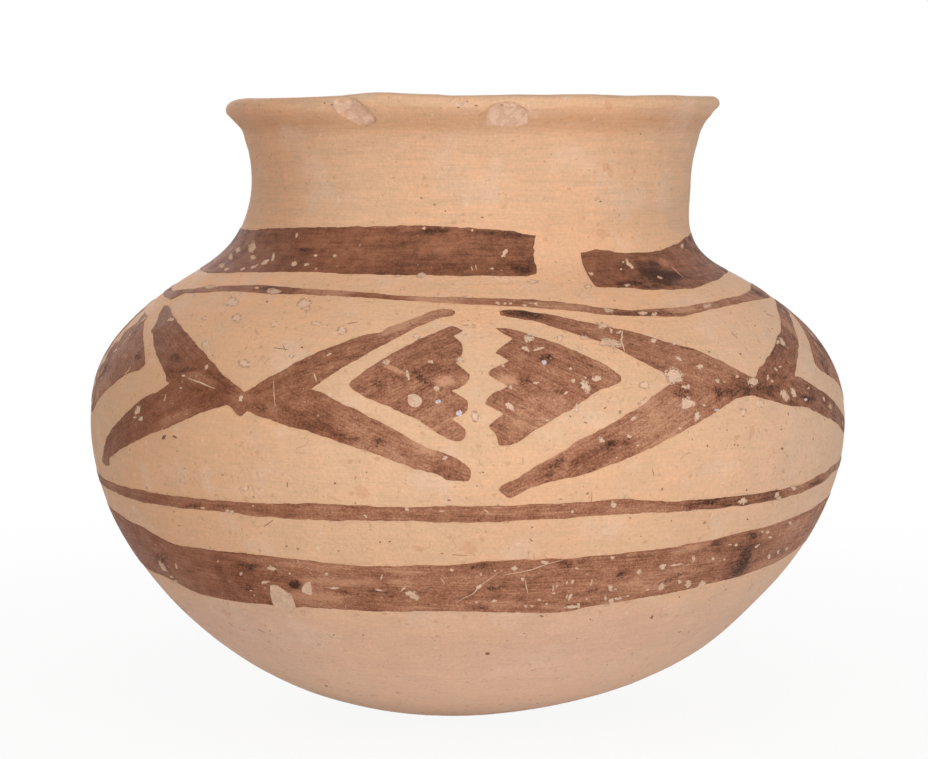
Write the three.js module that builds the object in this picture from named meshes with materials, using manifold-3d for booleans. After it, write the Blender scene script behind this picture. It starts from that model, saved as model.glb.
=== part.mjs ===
// A hand-built, painted pottery jar: a wide round belly on a small flat base, a sloping shoulder,
// a short neck with a flared lip, and a pattern of brown slip painted on the outside.
import * as THREE from 'three';
import Module from 'manifold-3d';

// Sizes are millimetres. +Z is up and the origin is on the ground under the belly's centre.
// Angles are degrees round the jar from its painted front at -Y, positive towards +X.

// The outside of the wall, from the base up
const BASE_RADIUS = 16.5;
const BELLY_RADIUS = 95;
const BELLY_HEIGHT = 72.5;
const SHOULDER_RISE = 38.2; // from the belly to where the shoulder turns into the neck
const SHOULDER_OUTSET = 11.8; // radius there beyond the neck's
const SHOULDER_SLOPE = 29.5;
const NECK_RADIUS = 55.4;
const NECK_RISE = 21.8;
const LIP_OUTSET = 6; // radius where the lip's rounding begins, beyond the neck's
const LIP_RISE = 18.3;
const LIP_SLOPE = 48.7;
const BASE_SLOPE = 8.2; // the wall leaves the base this far above the ground's plane

// Reaches of the curves' handles, which set how full each stretch of the wall is
const BASE_FULLNESS = 47.5;
const LOWER_BELLY_FULLNESS = 28.4;
const UPPER_BELLY_FULLNESS = 15;
const SHOULDER_FULLNESS = 26;
const NECK_FOOT_FULLNESS = 11;
const NECK_FULLNESS = 12;
const FLARE_FULLNESS = 7.7;
const LIP_FULLNESS = 6.8;

// The wall itself
const WALL = 5.5;
const FLOOR = 7;
const LIP_ROUNDING = 2.1;

// The jar was built by hand, so its middle wanders sideways as it rises
const BASE_DRIFT = -4.1;
const BASE_DRIFT_FADE = 17; // height over which the base's drift dies away
const SHOULDER_DRIFT = -1.4;
const NECK_DRIFT = 0.7;
const LIP_DRIFT = 1.3;

// Old chips under the lip's outer edge: angle round the lip, distance below the edge, how far the
// right end dips in degrees, and size
const LIP_CHIPS = [
  { angle: -27, below: 1.1, dip: 42, width: 11, height: 6.4, depth: 1.3 },
  { angle: 6.8, below: 1.3, dip: -4, width: 9.6, height: 6.6, depth: 1.1 },
  { angle: 131, below: 0.6, dip: -15, width: 8, height: 5, depth: 1 },
];

// The slip: its thickness, and the gap that keeps it clear of the wall's own facets
const SLIP_THICKNESS = 0.4;
const SLIP_SEAT = 0.05;

// Heights of the painted registers, measured along the outside of the wall
const UPPER_LINE_DROP = 34.5; // below the narrowest ring of the neck
const LOWER_LINE_DROP = 11.1; // below the belly's widest ring
const LOWER_BAND_DROP = 30; // below the belly's widest ring

// Stations of the painted rings: angle, lower edge and upper edge from the ring's own register.
// The neck band's register is the narrowest ring of the neck, and the band stops short of its start.
const NECK_BAND = [
  [27, -28.4, -15.8], [32, -28.7, -15.1], [40, -30.2, -16.2], [50, -30.7, -16.3],
  [60, -28.8, -14.9], [75, -26.5, -12.8], [100, -25.3, -11.8], [140, -25.8, -12.3],
  [180, -24.8, -11.3], [220, -25.6, -12], [260, -24.8, -11.5], [290, -25.4, -11.3],
  [310, -23.4, -10.2], [325, -22.5, -9.6], [340, -22.9, -9.1], [350, -23.1, -8.9],
  [360, -23.3, -9.4], [370, -23.4, -10.2], [374, -23.4, -10.9], [376.3, -22.5, -11.4],
];
const UPPER_LINE = [
  [-69, -2.3, 1.5], [-66, 0.5, 2.1], [-60, 1.5, 3.8], [-50, 2.9, 5.2], [-40, 2.7, 5.8],
  [-30, 2.8, 5], [-20, 2.4, 4.3], [-10, 1.3, 2.9], [0, 0.1, 2.4], [10, -1, 1.7],
  [16, -2.1, 1], [20, -3.1, -0.3], [25, -4.4, -2.1], [30, -5.3, -3.2], [40, -6.2, -3.2],
  [50, -4.4, -2], [60, -3.5, -1.3], [70, -3.5, -0.3], [79, -4, 1.5], [86, -1.8, 1],
  [110, -1.3, 1.1], [150, -2.5, 0], [190, -0.9, 1.6], [230, -2, 0.6], [265, -1.1, 1.2],
  [285, -2, 0.4],
];
const LOWER_LINE = [
  [-75, -2.4, 0.1], [-65, -2.4, -0.1], [-55, -2.9, 0.1], [-45, -2.2, 0.4], [-35, -1.8, 0.8],
  [-30, -2.2, 1.1], [-20, -2, 1.9], [-10, -1.4, 1.7], [0, -1.7, 2.2], [10, -1.1, 2.4],
  [20, -0.6, 2.9], [30, -0.9, 1.5], [45, -1.2, 1.2], [57, -0.9, 1.2], [65, 0.1, 2.6],
  [72, 1.3, 3.3], [95, 0.5, 3.2], [130, -0.8, 2], [180, -1.7, 1.3], [230, -1, 1.8],
  [265, -2.1, 0.8],
];
const LOWER_BAND = [
  [-70, -6.4, 10.2], [-60, -6.2, 8.9], [-50, -8.4, 6.6], [-40, -8.4, 6.6], [-35, -8.2, 7.1],
  [-25, -7.9, 6.3], [-15, -7.8, 5.4], [-3, -7.1, 6.4], [5, -7.5, 7.6], [15, -8.4, 7.6],
  [20, -6.7, 8], [30, -5.1, 8.8], [45, -3.1, 10.6], [60, -1.5, 11.8], [72, 0.9, 12.9],
  [95, -1.1, 12.4], [140, -4.6, 9.4], [190, -6.6, 7.4], [235, -5.1, 8.9], [270, -4.6, 10.4],
];

// Outlines of the motifs between the two lines: degrees from the motif's own angle, and percent
// of the way up from the lower line's register to the upper line's. Two crosses and two stepped
// triangles were drawn a little differently, and the others repeat them.
const SLENDER_CROSS = [
  [0.4, 49.3], [-3.9, 55.5], [-12, 69.4], [-22, 81.4], [-32, 90.4], [-35.1, 90.8],
  [-33.2, 86.1], [-29.1, 75.6], [-22, 63.8], [-14.8, 49.9], [-19.3, 43.3], [-26.2, 31.5],
  [-32, 20.5], [-35.8, 9.2], [-32.2, 8.4], [-27, 16.9], [-17, 27.4], [-7, 38.3], [-1.6, 42.8],
  [-0.1, 39.2], [1.5, 40.7], [8, 35.8], [18, 27.8], [28, 18.4], [30.6, 15], [33.2, 15],
  [33.4, 19.5], [30.6, 25.7], [23, 36.2], [11.2, 51.8], [18, 67.9], [25.1, 83.7], [29, 90.4],
  [31.7, 93.1], [31.4, 95.9], [29.9, 96.6], [23, 87.2], [18, 80.3], [10.6, 69], [3, 53.3],
];
const BROAD_CROSS = [
  [0.3, 53.3], [-5.5, 63.8], [-10.5, 71.3], [-20.5, 82.6], [-30.5, 92.1], [-35.5, 95.3],
  [-38.8, 95.3], [-39.2, 92.5], [-33.6, 88.4], [-26.3, 77.9], [-20.5, 67.9], [-14.6, 56.3],
  [-20.5, 44.8], [-30.5, 31], [-37.8, 18.4], [-40.7, 13.3], [-41.2, 10.5], [-39.7, 7.7],
  [-35.5, 13.3], [-27.8, 18.9], [-20.5, 26.1], [-10.5, 37.7], [-3.2, 44.8], [0.5, 44.3],
  [4.5, 40.7], [12, 36.8], [19.5, 30.2], [29.5, 21.6], [33, 18.8], [34, 23.5], [29.5, 29.5],
  [22, 38.8], [11.5, 51], [17, 61.2], [24.5, 73.7], [34.5, 82.9], [38.5, 86.3], [37.5, 90],
  [29.5, 87.2], [19.5, 76.4], [9.5, 64.9], [2.6, 55.9],
];
const LEFTWARD_TRIANGLE = [
  [-16.2, 54.4], [-15, 58.5], [-10, 71.1], [-3.4, 83.1], [-1.5, 85.4], [-0.1, 82.6],
  [-1.5, 79.5], [-0.2, 75], [-0.3, 69.4], [-1.2, 64.9], [0.8, 59.7], [0, 55.5], [-1.9, 51.8],
  [0.2, 47.8], [-0.2, 43], [-1.9, 40.3], [-0.2, 35.6], [-0.6, 31.9], [-2.5, 31.9],
  [-6.3, 39.2], [-10, 44.5], [-15, 50.7],
];
const RIGHTWARD_TRIANGLE = [
  [1.2, 84.1], [3.3, 83.3], [6, 80.5], [11, 73.2], [16, 64.4], [18.5, 57.6], [17.8, 54.4],
  [14.5, 51.2], [11, 45], [6, 37.1], [2.2, 30], [0.2, 29.6], [-0.1, 32.6], [-1.1, 37.7],
  [1, 42.4], [-1.4, 46.2], [-0.5, 50.3], [1.8, 54], [-0.6, 58.9], [-0.2, 61.7], [2.5, 65.9],
  [0.6, 70], [2.2, 74.3], [3.5, 77.5],
];

// Where each motif stands: its name, outline, angle, and stretch round the jar
const MOTIFS = [
  ['cross_front_left', SLENDER_CROSS, -33, 1],
  ['cross_front_right', BROAD_CROSS, 45.5, 1],
  ['cross_back_right', SLENDER_CROSS, 139.5, 1.04],
  ['cross_back_left', BROAD_CROSS, 233.5, 1],
  ['triangle_front_left', LEFTWARD_TRIANGLE, 0, 1],
  ['triangle_front_right', RIGHTWARD_TRIANGLE, 4, 1],
  ['triangle_right_near', LEFTWARD_TRIANGLE, 88, 1.3],
  ['triangle_right_far', RIGHTWARD_TRIANGLE, 93, 1.15],
  ['triangle_back_right', LEFTWARD_TRIANGLE, 184, 1.3],
  ['triangle_back_left', RIGHTWARD_TRIANGLE, 189, 1.15],
  ['triangle_left_far', LEFTWARD_TRIANGLE, 277.5, 1.3],
  ['triangle_left_near', RIGHTWARD_TRIANGLE, 282.2, 1.15],
];

// How finely the wall is faceted, and where two corners of a piece of slip count as one
const COLUMNS = 48;
const RINGS = 28;
const LIP_STEPS = 5;
const CHIP_SIDES = 14;
const CORNER_DIGITS = 6;

const clay = { color: 0xd9a87c, roughness: 0.55, metalness: 0 };
const slip = { color: 0x6f4230, roughness: 0.6, metalness: 0 };

const shoulderHeight = BELLY_HEIGHT + SHOULDER_RISE;
const neckHeight = shoulderHeight + NECK_RISE;
const lipHeight = neckHeight + LIP_RISE;

const wasm = await Module();
wasm.setup();

// A step of the given length in the profile's plane, at a slope above the horizontal
function heading(slope, length) {
  const angle = THREE.MathUtils.degToRad(slope);
  return new THREE.Vector2(Math.cos(angle), Math.sin(angle)).multiplyScalar(length);
}

// The outside of the wall as a path of radius and height, from the base's edge to the lip
function outerPath() {
  const base = new THREE.Vector2(BASE_RADIUS, 0);
  const belly = new THREE.Vector2(BELLY_RADIUS, BELLY_HEIGHT);
  const shoulder = new THREE.Vector2(NECK_RADIUS + SHOULDER_OUTSET, shoulderHeight);
  const neck = new THREE.Vector2(NECK_RADIUS, neckHeight);
  const lip = new THREE.Vector2(NECK_RADIUS + LIP_OUTSET, lipHeight);
  const inward = 180 - SHOULDER_SLOPE;
  const stretches = [
    [base, heading(BASE_SLOPE, BASE_FULLNESS), belly, heading(-90, LOWER_BELLY_FULLNESS)],
    [belly, heading(90, UPPER_BELLY_FULLNESS), shoulder, heading(-SHOULDER_SLOPE, SHOULDER_FULLNESS)],
    [shoulder, heading(inward, NECK_FOOT_FULLNESS), neck, heading(-90, NECK_FULLNESS)],
    [neck, heading(90, FLARE_FULLNESS), lip, heading(180 + LIP_SLOPE, LIP_FULLNESS)],
  ];
  const path = new THREE.CurvePath();
  for (const [from, leave, to, arrive] of stretches) {
    path.add(new THREE.CubicBezierCurve(from, from.clone().add(leave), to.clone().add(arrive), to));
  }
  return path;
}

const outside = outerPath();
const [bellyMark, , neckMark, lipMark] = outside.getCurveLengths();
const outerRings = outside.getSpacedPoints(RINGS);

// Sideways drift of the jar's middle at a height
function drift(height) {
  const rise = THREE.MathUtils.smoothstep;
  return BASE_DRIFT * Math.exp(-height / BASE_DRIFT_FADE)
    + SHOULDER_DRIFT * rise(height, BELLY_HEIGHT, shoulderHeight)
    + (NECK_DRIFT - SHOULDER_DRIFT) * rise(height, shoulderHeight, neckHeight)
    + (LIP_DRIFT - NECK_DRIFT) * rise(height, neckHeight, lipHeight);
}

// The outward normal of the outside, in the profile's plane, at a ring
function ringNormal(ring) {
  const along = outerRings[Math.min(ring + 1, RINGS)].clone();
  along.sub(outerRings[Math.max(ring - 1, 0)]).normalize();
  return new THREE.Vector2(along.y, -along.x);
}

// A corner of the wall's facets, lifted off the wall
function wallCorner(column, ring, lift) {
  const { x: radius, y: height } = ringNormal(ring).multiplyScalar(lift).add(outerRings[ring]);
  const angle = (column / COLUMNS) * 2 * Math.PI;
  const middle = drift(outerRings[ring].y);
  return new THREE.Vector3(middle + radius * Math.sin(angle), -radius * Math.cos(angle), height);
}

// Any point over the wall's facets, which are flat, where columns and rings may be fractions
function wallPoint(column, ring, lift) {
  const [c, r] = [Math.floor(column), Math.min(Math.floor(ring), RINGS - 1)];
  const lower = wallCorner(c, r, lift).lerp(wallCorner(c + 1, r, lift), column - c);
  const upper = wallCorner(c, r + 1, lift).lerp(wallCorner(c + 1, r + 1, lift), column - c);
  return lower.lerp(upper, ring - r);
}

// The part of a convex piece where side(point) isn't negative
function clip(piece, side) {
  const kept = [];
  piece.forEach((from, n) => {
    const to = piece[(n + 1) % piece.length];
    const [a, b] = [side(from), side(to)];
    if (a >= 0) kept.push(from);
    if (a * b < 0) kept.push(from.clone().lerp(to, a / (a - b)));
  });
  return kept;
}

// Cuts convex pieces along each line where measure(point) is a whole number
function cutAtWholeNumbers(pieces, measure) {
  const cut = [];
  for (const piece of pieces) {
    const values = piece.map(measure);
    const end = Math.max(...values);
    for (let line = Math.floor(Math.min(...values)); line < end; line += 1) {
      const lower = clip(piece, (point) => measure(point) - line);
      cut.push(clip(lower, (point) => line + 1 - measure(point)));
    }
  }
  return cut.filter((piece) => piece.length > 2);
}

// A layer of slip on the wall, from convex pieces drawn in columns round the jar and rings up it.
// They are cut along the edges of the wall's facets, so that the layer lies flat on each facet.
function slipLayer(drawn) {
  const strips = cutAtWholeNumbers(drawn, (point) => point.x);
  const pieces = cutAtWholeNumbers(strips, (point) => point.y);

  const numbers = new Map();
  const inner = [];
  const outer = [];
  const numberOf = (point) => {
    const turned = THREE.MathUtils.euclideanModulo(point.x, COLUMNS);
    const column = Number(turned.toFixed(CORNER_DIGITS)) % COLUMNS;
    const key = `${column} ${point.y.toFixed(CORNER_DIGITS)}`;
    if (!numbers.has(key)) {
      numbers.set(key, inner.length);
      inner.push(wallPoint(column, point.y, SLIP_SEAT));
      outer.push(wallPoint(column, point.y, SLIP_SEAT + SLIP_THICKNESS));
    }
    return numbers.get(key);
  };

  const faces = [];
  for (const piece of pieces) {
    const numbered = piece.map(numberOf);
    const corners = numbered.filter((number, n) => number !== numbered[(n + 1) % numbered.length]);
    for (let n = 2; n < corners.length; n += 1) faces.push([corners[0], corners[n - 1], corners[n]]);
  }
  const edges = new Set(faces.flatMap(([a, b, c]) => [`${a} ${b}`, `${b} ${c}`, `${c} ${a}`]));
  const count = inner.length;
  const triangles = faces.flatMap(([a, b, c]) => [a + count, b + count, c + count, a, c, b]);
  for (const edge of edges) {
    const [a, b] = edge.split(' ').map(Number);
    if (!edges.has(`${b} ${a}`)) triangles.push(a, b, b + count, a, b + count, a + count);
  }
  const geometry = new THREE.BufferGeometry().setFromPoints([...inner, ...outer]);
  return geometry.setIndex(triangles);
}

// A corner of an outline from degrees round the jar and millimetres up the wall
function outlinePoint(angle, mark) {
  return new THREE.Vector2((angle / 360) * COLUMNS, (mark / lipMark) * RINGS);
}

// A painted ring from its stations, closed on itself unless it is open
function paintedRing(stations, register, open = false) {
  const run = open ? stations : [...stations, [stations[0][0] + 360, ...stations[0].slice(1)]];
  const edges = run.map(([angle, lower, upper]) => [
    outlinePoint(angle, register + lower), outlinePoint(angle, register + upper),
  ]);
  const lengths = edges.slice(1).map(([lower, upper], n) => [edges[n][0], lower, upper, edges[n][1]]);
  return slipLayer(lengths);
}

// A painted motif between the registers of the two lines
function paintedMotif(outline, angle, stretch) {
  const lower = bellyMark - LOWER_LINE_DROP;
  const zone = neckMark - UPPER_LINE_DROP - lower;
  const points = outline.map(([across, up]) => (
    outlinePoint(angle + across * stretch, lower + (up / 100) * zone)
  ));
  if (THREE.ShapeUtils.isClockWise(points)) points.reverse();
  const triangles = THREE.ShapeUtils.triangulateShape(points, []);
  return slipLayer(triangles.map((corners) => corners.map((n) => points[n])));
}

// A closed profile of the wall: under the base, up the outside, over the lip and down inside
function wallProfile() {
  const lip = outerRings[RINGS];
  const lipCentre = heading(LIP_SLOPE + 90, LIP_ROUNDING).add(lip);
  const rounding = [];
  for (let step = 1; step <= LIP_STEPS; step += 1) {
    rounding.push(heading(LIP_SLOPE - 90 + (180 * step) / LIP_STEPS, LIP_ROUNDING).add(lipCentre));
  }
  const inside = [];
  for (let ring = RINGS - 2; ring > 0; ring -= 2) {
    inside.push(ringNormal(ring).multiplyScalar(-WALL).add(outerRings[ring]));
  }
  const aboveFloor = inside.filter((point) => point.y > FLOOR);
  return [
    new THREE.Vector2(0, 0), ...outerRings, ...rounding, ...aboveFloor, new THREE.Vector2(0, FLOOR),
  ];
}

// A closed mesh as a solid for cutting, with the vertices that share a place made one
function solidFrom(geometry) {
  const { position } = geometry.attributes;
  const places = new Map();
  const vertices = [];
  const merged = [];
  for (let n = 0; n < position.count; n += 1) {
    const point = [position.getX(n), position.getY(n), position.getZ(n)];
    const key = point.map((value) => Math.round(value * 1e4)).join(' ');
    if (!places.has(key)) {
      places.set(key, places.size);
      vertices.push(...point);
    }
    merged.push(places.get(key));
  }
  const index = geometry.index ? [...geometry.index.array] : merged.map((_, n) => n);
  const triangles = [];
  for (let n = 0; n < index.length; n += 3) {
    const corners = [merged[index[n]], merged[index[n + 1]], merged[index[n + 2]]];
    if (new Set(corners).size === 3) triangles.push(...corners);
  }
  return new wasm.Manifold(new wasm.Mesh({
    numProp: 3,
    vertProperties: new Float32Array(vertices),
    triVerts: new Uint32Array(triangles),
  }));
}

function geometryFrom(solid) {
  const { vertProperties, triVerts } = solid.getMesh();
  const geometry = new THREE.BufferGeometry();
  geometry.setAttribute('position', new THREE.BufferAttribute(vertProperties, 3));
  return geometry.setIndex(new THREE.BufferAttribute(triVerts, 1));
}

// The shallow scoop that a chip takes out of the flare just under the lip's edge
function chipScoop({ angle, below, dip, width, height, depth }) {
  const middle = heading(LIP_SLOPE, -below).add(outerRings[RINGS]);
  const scoop = new THREE.SphereGeometry(1, CHIP_SIDES, CHIP_SIDES / 2);
  scoop.scale(width / 2, depth, height / 2);
  scoop.rotateY(THREE.MathUtils.degToRad(dip));
  scoop.rotateX(THREE.MathUtils.degToRad(90 - LIP_SLOPE));
  scoop.translate(0, -middle.x, middle.y);
  scoop.rotateZ(THREE.MathUtils.degToRad(angle));
  return scoop.translate(drift(middle.y), 0, 0);
}

function jarBody() {
  const geometry = new THREE.LatheGeometry(wallProfile(), COLUMNS).rotateX(Math.PI / 2);
  const { position } = geometry.attributes;
  for (let n = 0; n < position.count; n += 1) {
    position.setX(n, position.getX(n) + drift(position.getZ(n)));
  }
  let body = solidFrom(geometry);
  for (const chip of LIP_CHIPS) body = body.subtract(solidFrom(chipScoop(chip)));
  return geometryFrom(body);
}

function addPiece(group, name, geometry, finish) {
  const piece = new THREE.Mesh(geometry, new THREE.MeshStandardMaterial(finish));
  piece.name = name;
  group.add(piece);
}

const jar = new THREE.Group();
addPiece(jar, 'jar_body', jarBody(), clay);

const painting = new THREE.Group();
addPiece(painting, 'neck_band', paintedRing(NECK_BAND, neckMark, true), slip);
addPiece(painting, 'upper_line', paintedRing(UPPER_LINE, neckMark - UPPER_LINE_DROP), slip);
addPiece(painting, 'lower_line', paintedRing(LOWER_LINE, bellyMark - LOWER_LINE_DROP), slip);
addPiece(painting, 'lower_band', paintedRing(LOWER_BAND, bellyMark - LOWER_BAND_DROP), slip);
for (const [name, outline, angle, stretch] of MOTIFS) {
  addPiece(painting, name, paintedMotif(outline, angle, stretch), slip);
}
jar.add(painting);

export default jar;
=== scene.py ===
import functools
import math
import random

import bmesh
import bpy
from bpy.props import FloatProperty, FloatVectorProperty, PointerProperty
from mathutils import Euler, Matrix, Vector, geometry, noise


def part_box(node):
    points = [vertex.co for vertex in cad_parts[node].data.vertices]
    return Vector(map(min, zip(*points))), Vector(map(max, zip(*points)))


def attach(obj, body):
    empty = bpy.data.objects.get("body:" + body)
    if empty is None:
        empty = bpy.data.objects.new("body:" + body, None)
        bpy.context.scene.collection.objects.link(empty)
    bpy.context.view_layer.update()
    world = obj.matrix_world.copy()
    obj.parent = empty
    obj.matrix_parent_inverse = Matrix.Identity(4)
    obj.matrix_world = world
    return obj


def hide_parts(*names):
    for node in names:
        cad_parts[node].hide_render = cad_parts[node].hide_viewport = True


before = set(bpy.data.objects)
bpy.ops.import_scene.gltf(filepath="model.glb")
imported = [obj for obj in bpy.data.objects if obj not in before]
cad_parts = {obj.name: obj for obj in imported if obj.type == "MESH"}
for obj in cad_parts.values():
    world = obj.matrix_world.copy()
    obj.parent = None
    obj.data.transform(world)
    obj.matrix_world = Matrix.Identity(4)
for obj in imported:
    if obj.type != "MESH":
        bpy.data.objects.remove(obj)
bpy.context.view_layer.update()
WALL_LOW, WALL_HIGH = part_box("jar_body")

bl_info = {
    "name": "Painted Pottery Jar",
    "version": (1, 0, 0),
    "blender": (4, 5, 0),
    "location": "View3D > Sidebar > Jar",
    "description": "Builds a round-bellied jar of buff clay with a pattern in brown slip",
    "category": "Object",
}

# Every mark is drawn on the wall laid out flat: degrees round the jar from its front, positive to
# the right, and millimetres up the outside from the belly's widest ring. The third number of a
# drawn point is how far it stands off the wall.
MM = 0.001

# Millimetres of the belly to a degree, for brush strokes and for the cuts through a filled shape
STROKE_DEGREE = 1.6
CUT_DEGREE = 1.55

# How far slip and the marks on it reach down into what is under them, and how far such marks
# stand off the slip, in millimetres
SLIP_SUNK, SUNK, OVER_SLIP = 0.06, 0.04, 0.035

# How finely things are drawn: columns round the wall, columns to a degree of a painted ring,
# and millimetres between the cuts through a motif
WALL_COLUMNS, RING_COLUMNS, MOTIF_CUTS = 360, 2.2, 1.1

# Corners closer than these millimetres become one, and edges under this many degrees are smooth
WALL_MERGE, MARK_MERGE, SMOOTH_UNDER = 0.001, 0.0015, 35

# The name under which each drawing keeps its own flat coordinates
DRAWN = "UVMap"

# The section's places that a user wouldn't change, in millimetres and degrees
SHOULDER_RISE, NECK_RISE, LIP_RISE = 38.2, 21.8, 18.3
SHOULDER_OUTSET, LIP_OUTSET = 11.8, 6
BASE_SLOPE, SHOULDER_SLOPE, LIP_SLOPE = 8.2, 29.5, 48.7
LIP_ROUNDING = 2.1
FLOOR = 7

# Reaches of the section's handles, which set how full it is on leaving and on reaching a place
BASE_FULLNESS, LOWER_BELLY_FULLNESS, UPPER_BELLY_FULLNESS, SHOULDER_FULLNESS = 47.5, 28.4, 15, 26
NECK_FOOT_FULLNESS, NECK_FULLNESS, FLARE_FULLNESS, LIP_FULLNESS = 11, 12, 7.7, 6.8

# How finely the section is drawn: points of each curve, and degrees of a step over the lip
CURVE_POINTS, LIP_TURN = 240, 8

# Counted in such points down from the lip, the wall is as thick as the lip to the first of these
# and has its full thickness from the second
THICKENS_FROM, THICKENS_TO = 40, 260

# How near the lip its chips still count, in millimetres
LIP_NEAR = 9

# Sideways lean of the jar's middle: near the base, where it fades upwards over BASE_FADE, and what
# is added between two heights
BASE_LEAN, BASE_FADE = -4.1, 17
LEANS = [(-1.4, 72.5, 110.7), (2.1, 110.7, 132.5), (0.6, 132.5, 150.8)]

# Height of the lip's top against a level ring, by angle
RIM = [
    (-90, -1.15), (-66, -0.55), (-59, -0.72), (-50, -0.82), (-44, -0.81), (-37, -0.68),
    (-31, -0.48), (-27.5, -0.17), (-24.6, 0.11), (-21.7, 0.19), (-18.8, 0.11), (-16, -0.1),
    (-10.7, -0.35), (-8, -0.44), (-5, -0.73), (0, -0.69), (5, -0.62), (10, -0.5), (16, -0.57),
    (21, -0.42), (27, -0.38), (30, -0.5), (37, -0.66), (44, -0.45), (53, -0.33), (59, -0.4),
    (66, -0.3), (79, -0.12), (90, 0), (120, -0.4), (150, -0.1), (180, -0.6), (215, -0.2),
    (245, -0.9), (270, -1.15),
]

# Old chips under the lip's edge: angle, distance below the edge, dip, width, height, depth
LIP_CHIPS = [(-27, 1.1, 42, 11, 6.4, 1.3), (6.8, 1.3, -4, 9.6, 6.6, 1.1), (131, 0.6, -15, 8, 5, 1)]

# Stations of the painted rings: angle, lower edge, upper edge
NECK_BAND = [
    (27, 48.3, 60.9), (32, 48, 61.6), (40, 46.5, 60.5), (50, 46, 60.4), (60, 47.9, 61.8),
    (75, 50.2, 63.9), (100, 51.4, 64.9), (140, 50.9, 64.4), (180, 51.9, 65.4), (220, 51.1, 64.7),
    (260, 51.9, 65.2), (290, 51.3, 65.4), (310, 53.3, 66.5), (325, 54.2, 67.1), (340, 53.8, 67.6),
    (350, 53.6, 67.8), (360, 53.4, 67.3), (370, 53.3, 66.5), (374, 53.3, 65.8),
    (376.3, 54.2, 65.3),
]
UPPER_LINE = [
    (-69, 39.9, 43.7), (-66, 42.7, 44.3), (-60, 43.7, 46), (-50, 45.1, 47.4), (-40, 44.9, 48),
    (-30, 45, 47.2), (-20, 44.6, 46.5), (-10, 43.5, 45.1), (0, 42.3, 44.6), (10, 41.2, 43.9),
    (16, 40.1, 43.2), (20, 39.1, 41.9), (25, 37.8, 40.1), (30, 36.9, 39), (40, 36, 39),
    (50, 37.8, 40.2), (60, 38.7, 40.9), (70, 38.7, 41.9), (79, 38.2, 43.7), (86, 40.4, 43.2),
    (110, 40.9, 43.3), (150, 39.7, 42.2), (190, 41.3, 43.8), (230, 40.2, 42.8), (265, 41.1, 43.4),
    (285, 40.2, 42.6),
]
LOWER_LINE = [
    (-75, -13.5, -11), (-65, -13.5, -11.2), (-55, -14, -11), (-45, -13.3, -10.7),
    (-35, -12.9, -10.3), (-30, -13.3, -10), (-20, -13.1, -9.2), (-10, -12.5, -9.4),
    (0, -12.8, -8.9), (10, -12.2, -8.7), (20, -11.7, -8.2), (30, -12, -9.6), (45, -12.3, -9.9),
    (57, -12, -9.9), (65, -11, -8.5), (72, -9.8, -7.8), (95, -10.6, -7.9), (130, -11.9, -9.1),
    (180, -12.8, -9.8), (230, -12.1, -9.3), (265, -13.2, -10.3),
]
LOWER_BAND = [
    (-70, -36.4, -19.8), (-60, -36.2, -21.1), (-50, -39, -24), (-40, -38.9, -23.9),
    (-35, -38.6, -23.4), (-25, -37.9, -23.7), (-15, -37.8, -24.6), (-3, -37.1, -23.6),
    (5, -37.5, -22.4), (15, -38.4, -22.4), (20, -36.7, -22), (30, -35.1, -21.2),
    (45, -33.1, -19.4), (60, -31.5, -18.2), (72, -29.1, -17.1), (95, -31.1, -17.6),
    (140, -34.6, -20.6), (190, -36.6, -22.6), (235, -35.1, -21.1), (270, -34.6, -19.6),
]

# The painted rings from the top: name, stations, and rows of the mesh across each
RINGS = [
    ("neck_band", NECK_BAND, 26), ("upper_line", UPPER_LINE, 4), ("lower_line", LOWER_LINE, 4),
    ("lower_band", LOWER_BAND, 14),
]

# The neck band's two ragged ends: millimetres up, and the angle where the slip stops
BAND_START_AT, BAND_END_AT = 27, 376.3
BAND_START = [(48.2, 27.8), (48.9, 26.7), (52.9, 26.9), (58.2, 27.2), (60.9, 27.6)]
BAND_END = [
    (53.3, 374.6), (53.9, 375.3), (55, 375.8), (57, 376), (58.2, 375.7), (59.4, 375.9),
    (60.3, 375.7), (61.4, 376.2), (62.3, 375.8), (63.2, 376.2), (64.4, 376.2), (65.3, 376.5),
]

# Where a shape was painted over again: its name, the angles between which that was done, the
# height round which the coat's end slants, how much it slants, the heights that it keeps to,
# and how dark it is
SECOND_COATS = [
    ("lower_band", -112, -33.9, -31, 0.1, -60, 0, 0.3),
    ("lower_band", -44, -33.9, -31, 0.1, -60, 0, 0.8), ("neck_band", 10, 420, 58, 0, 40, 80, 0.9),
    ("upper_line", -44, -33, 46, -0.6, 30, 60, 0.9),
    ("upper_line", -22.5, -9.5, 45, -0.8, 30, 60, 0.4),
    ("upper_line", 24, 34, 39, 0.8, 30, 60, 0.7), ("lower_line", 30, 52, -11, 0.6, -20, 0, 0.9),
    ("lower_band", 128, 171, -27, -0.4, -60, 0, 0.7),
    ("cross_front_left", -80, -35, 14, 0.3, -20, 60, 0.7),
    ("cross_front_left", -36, -12.4, 31, 0.9, 15, 60, 0.35),
    ("cross_front_right", 47, 90, 14, -0.3, -20, 60, 0.8),
    ("triangle_front_left", -9, 6, 28, 0.5, 25.5, 60, 0.35),
    ("cross_back_left", 200, 236, 14, 0.4, -20, 60, 0.7),
    ("cross_back_right", 141, 180, 14, 0.3, -20, 60, 0.7),
    ("triangle_back_left", 188, 196, 20, 0.5, -20, 60, 0.6),
    ("upper_line", 150, 206, 42, 0.6, 30, 60, 0.7),
]

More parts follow.
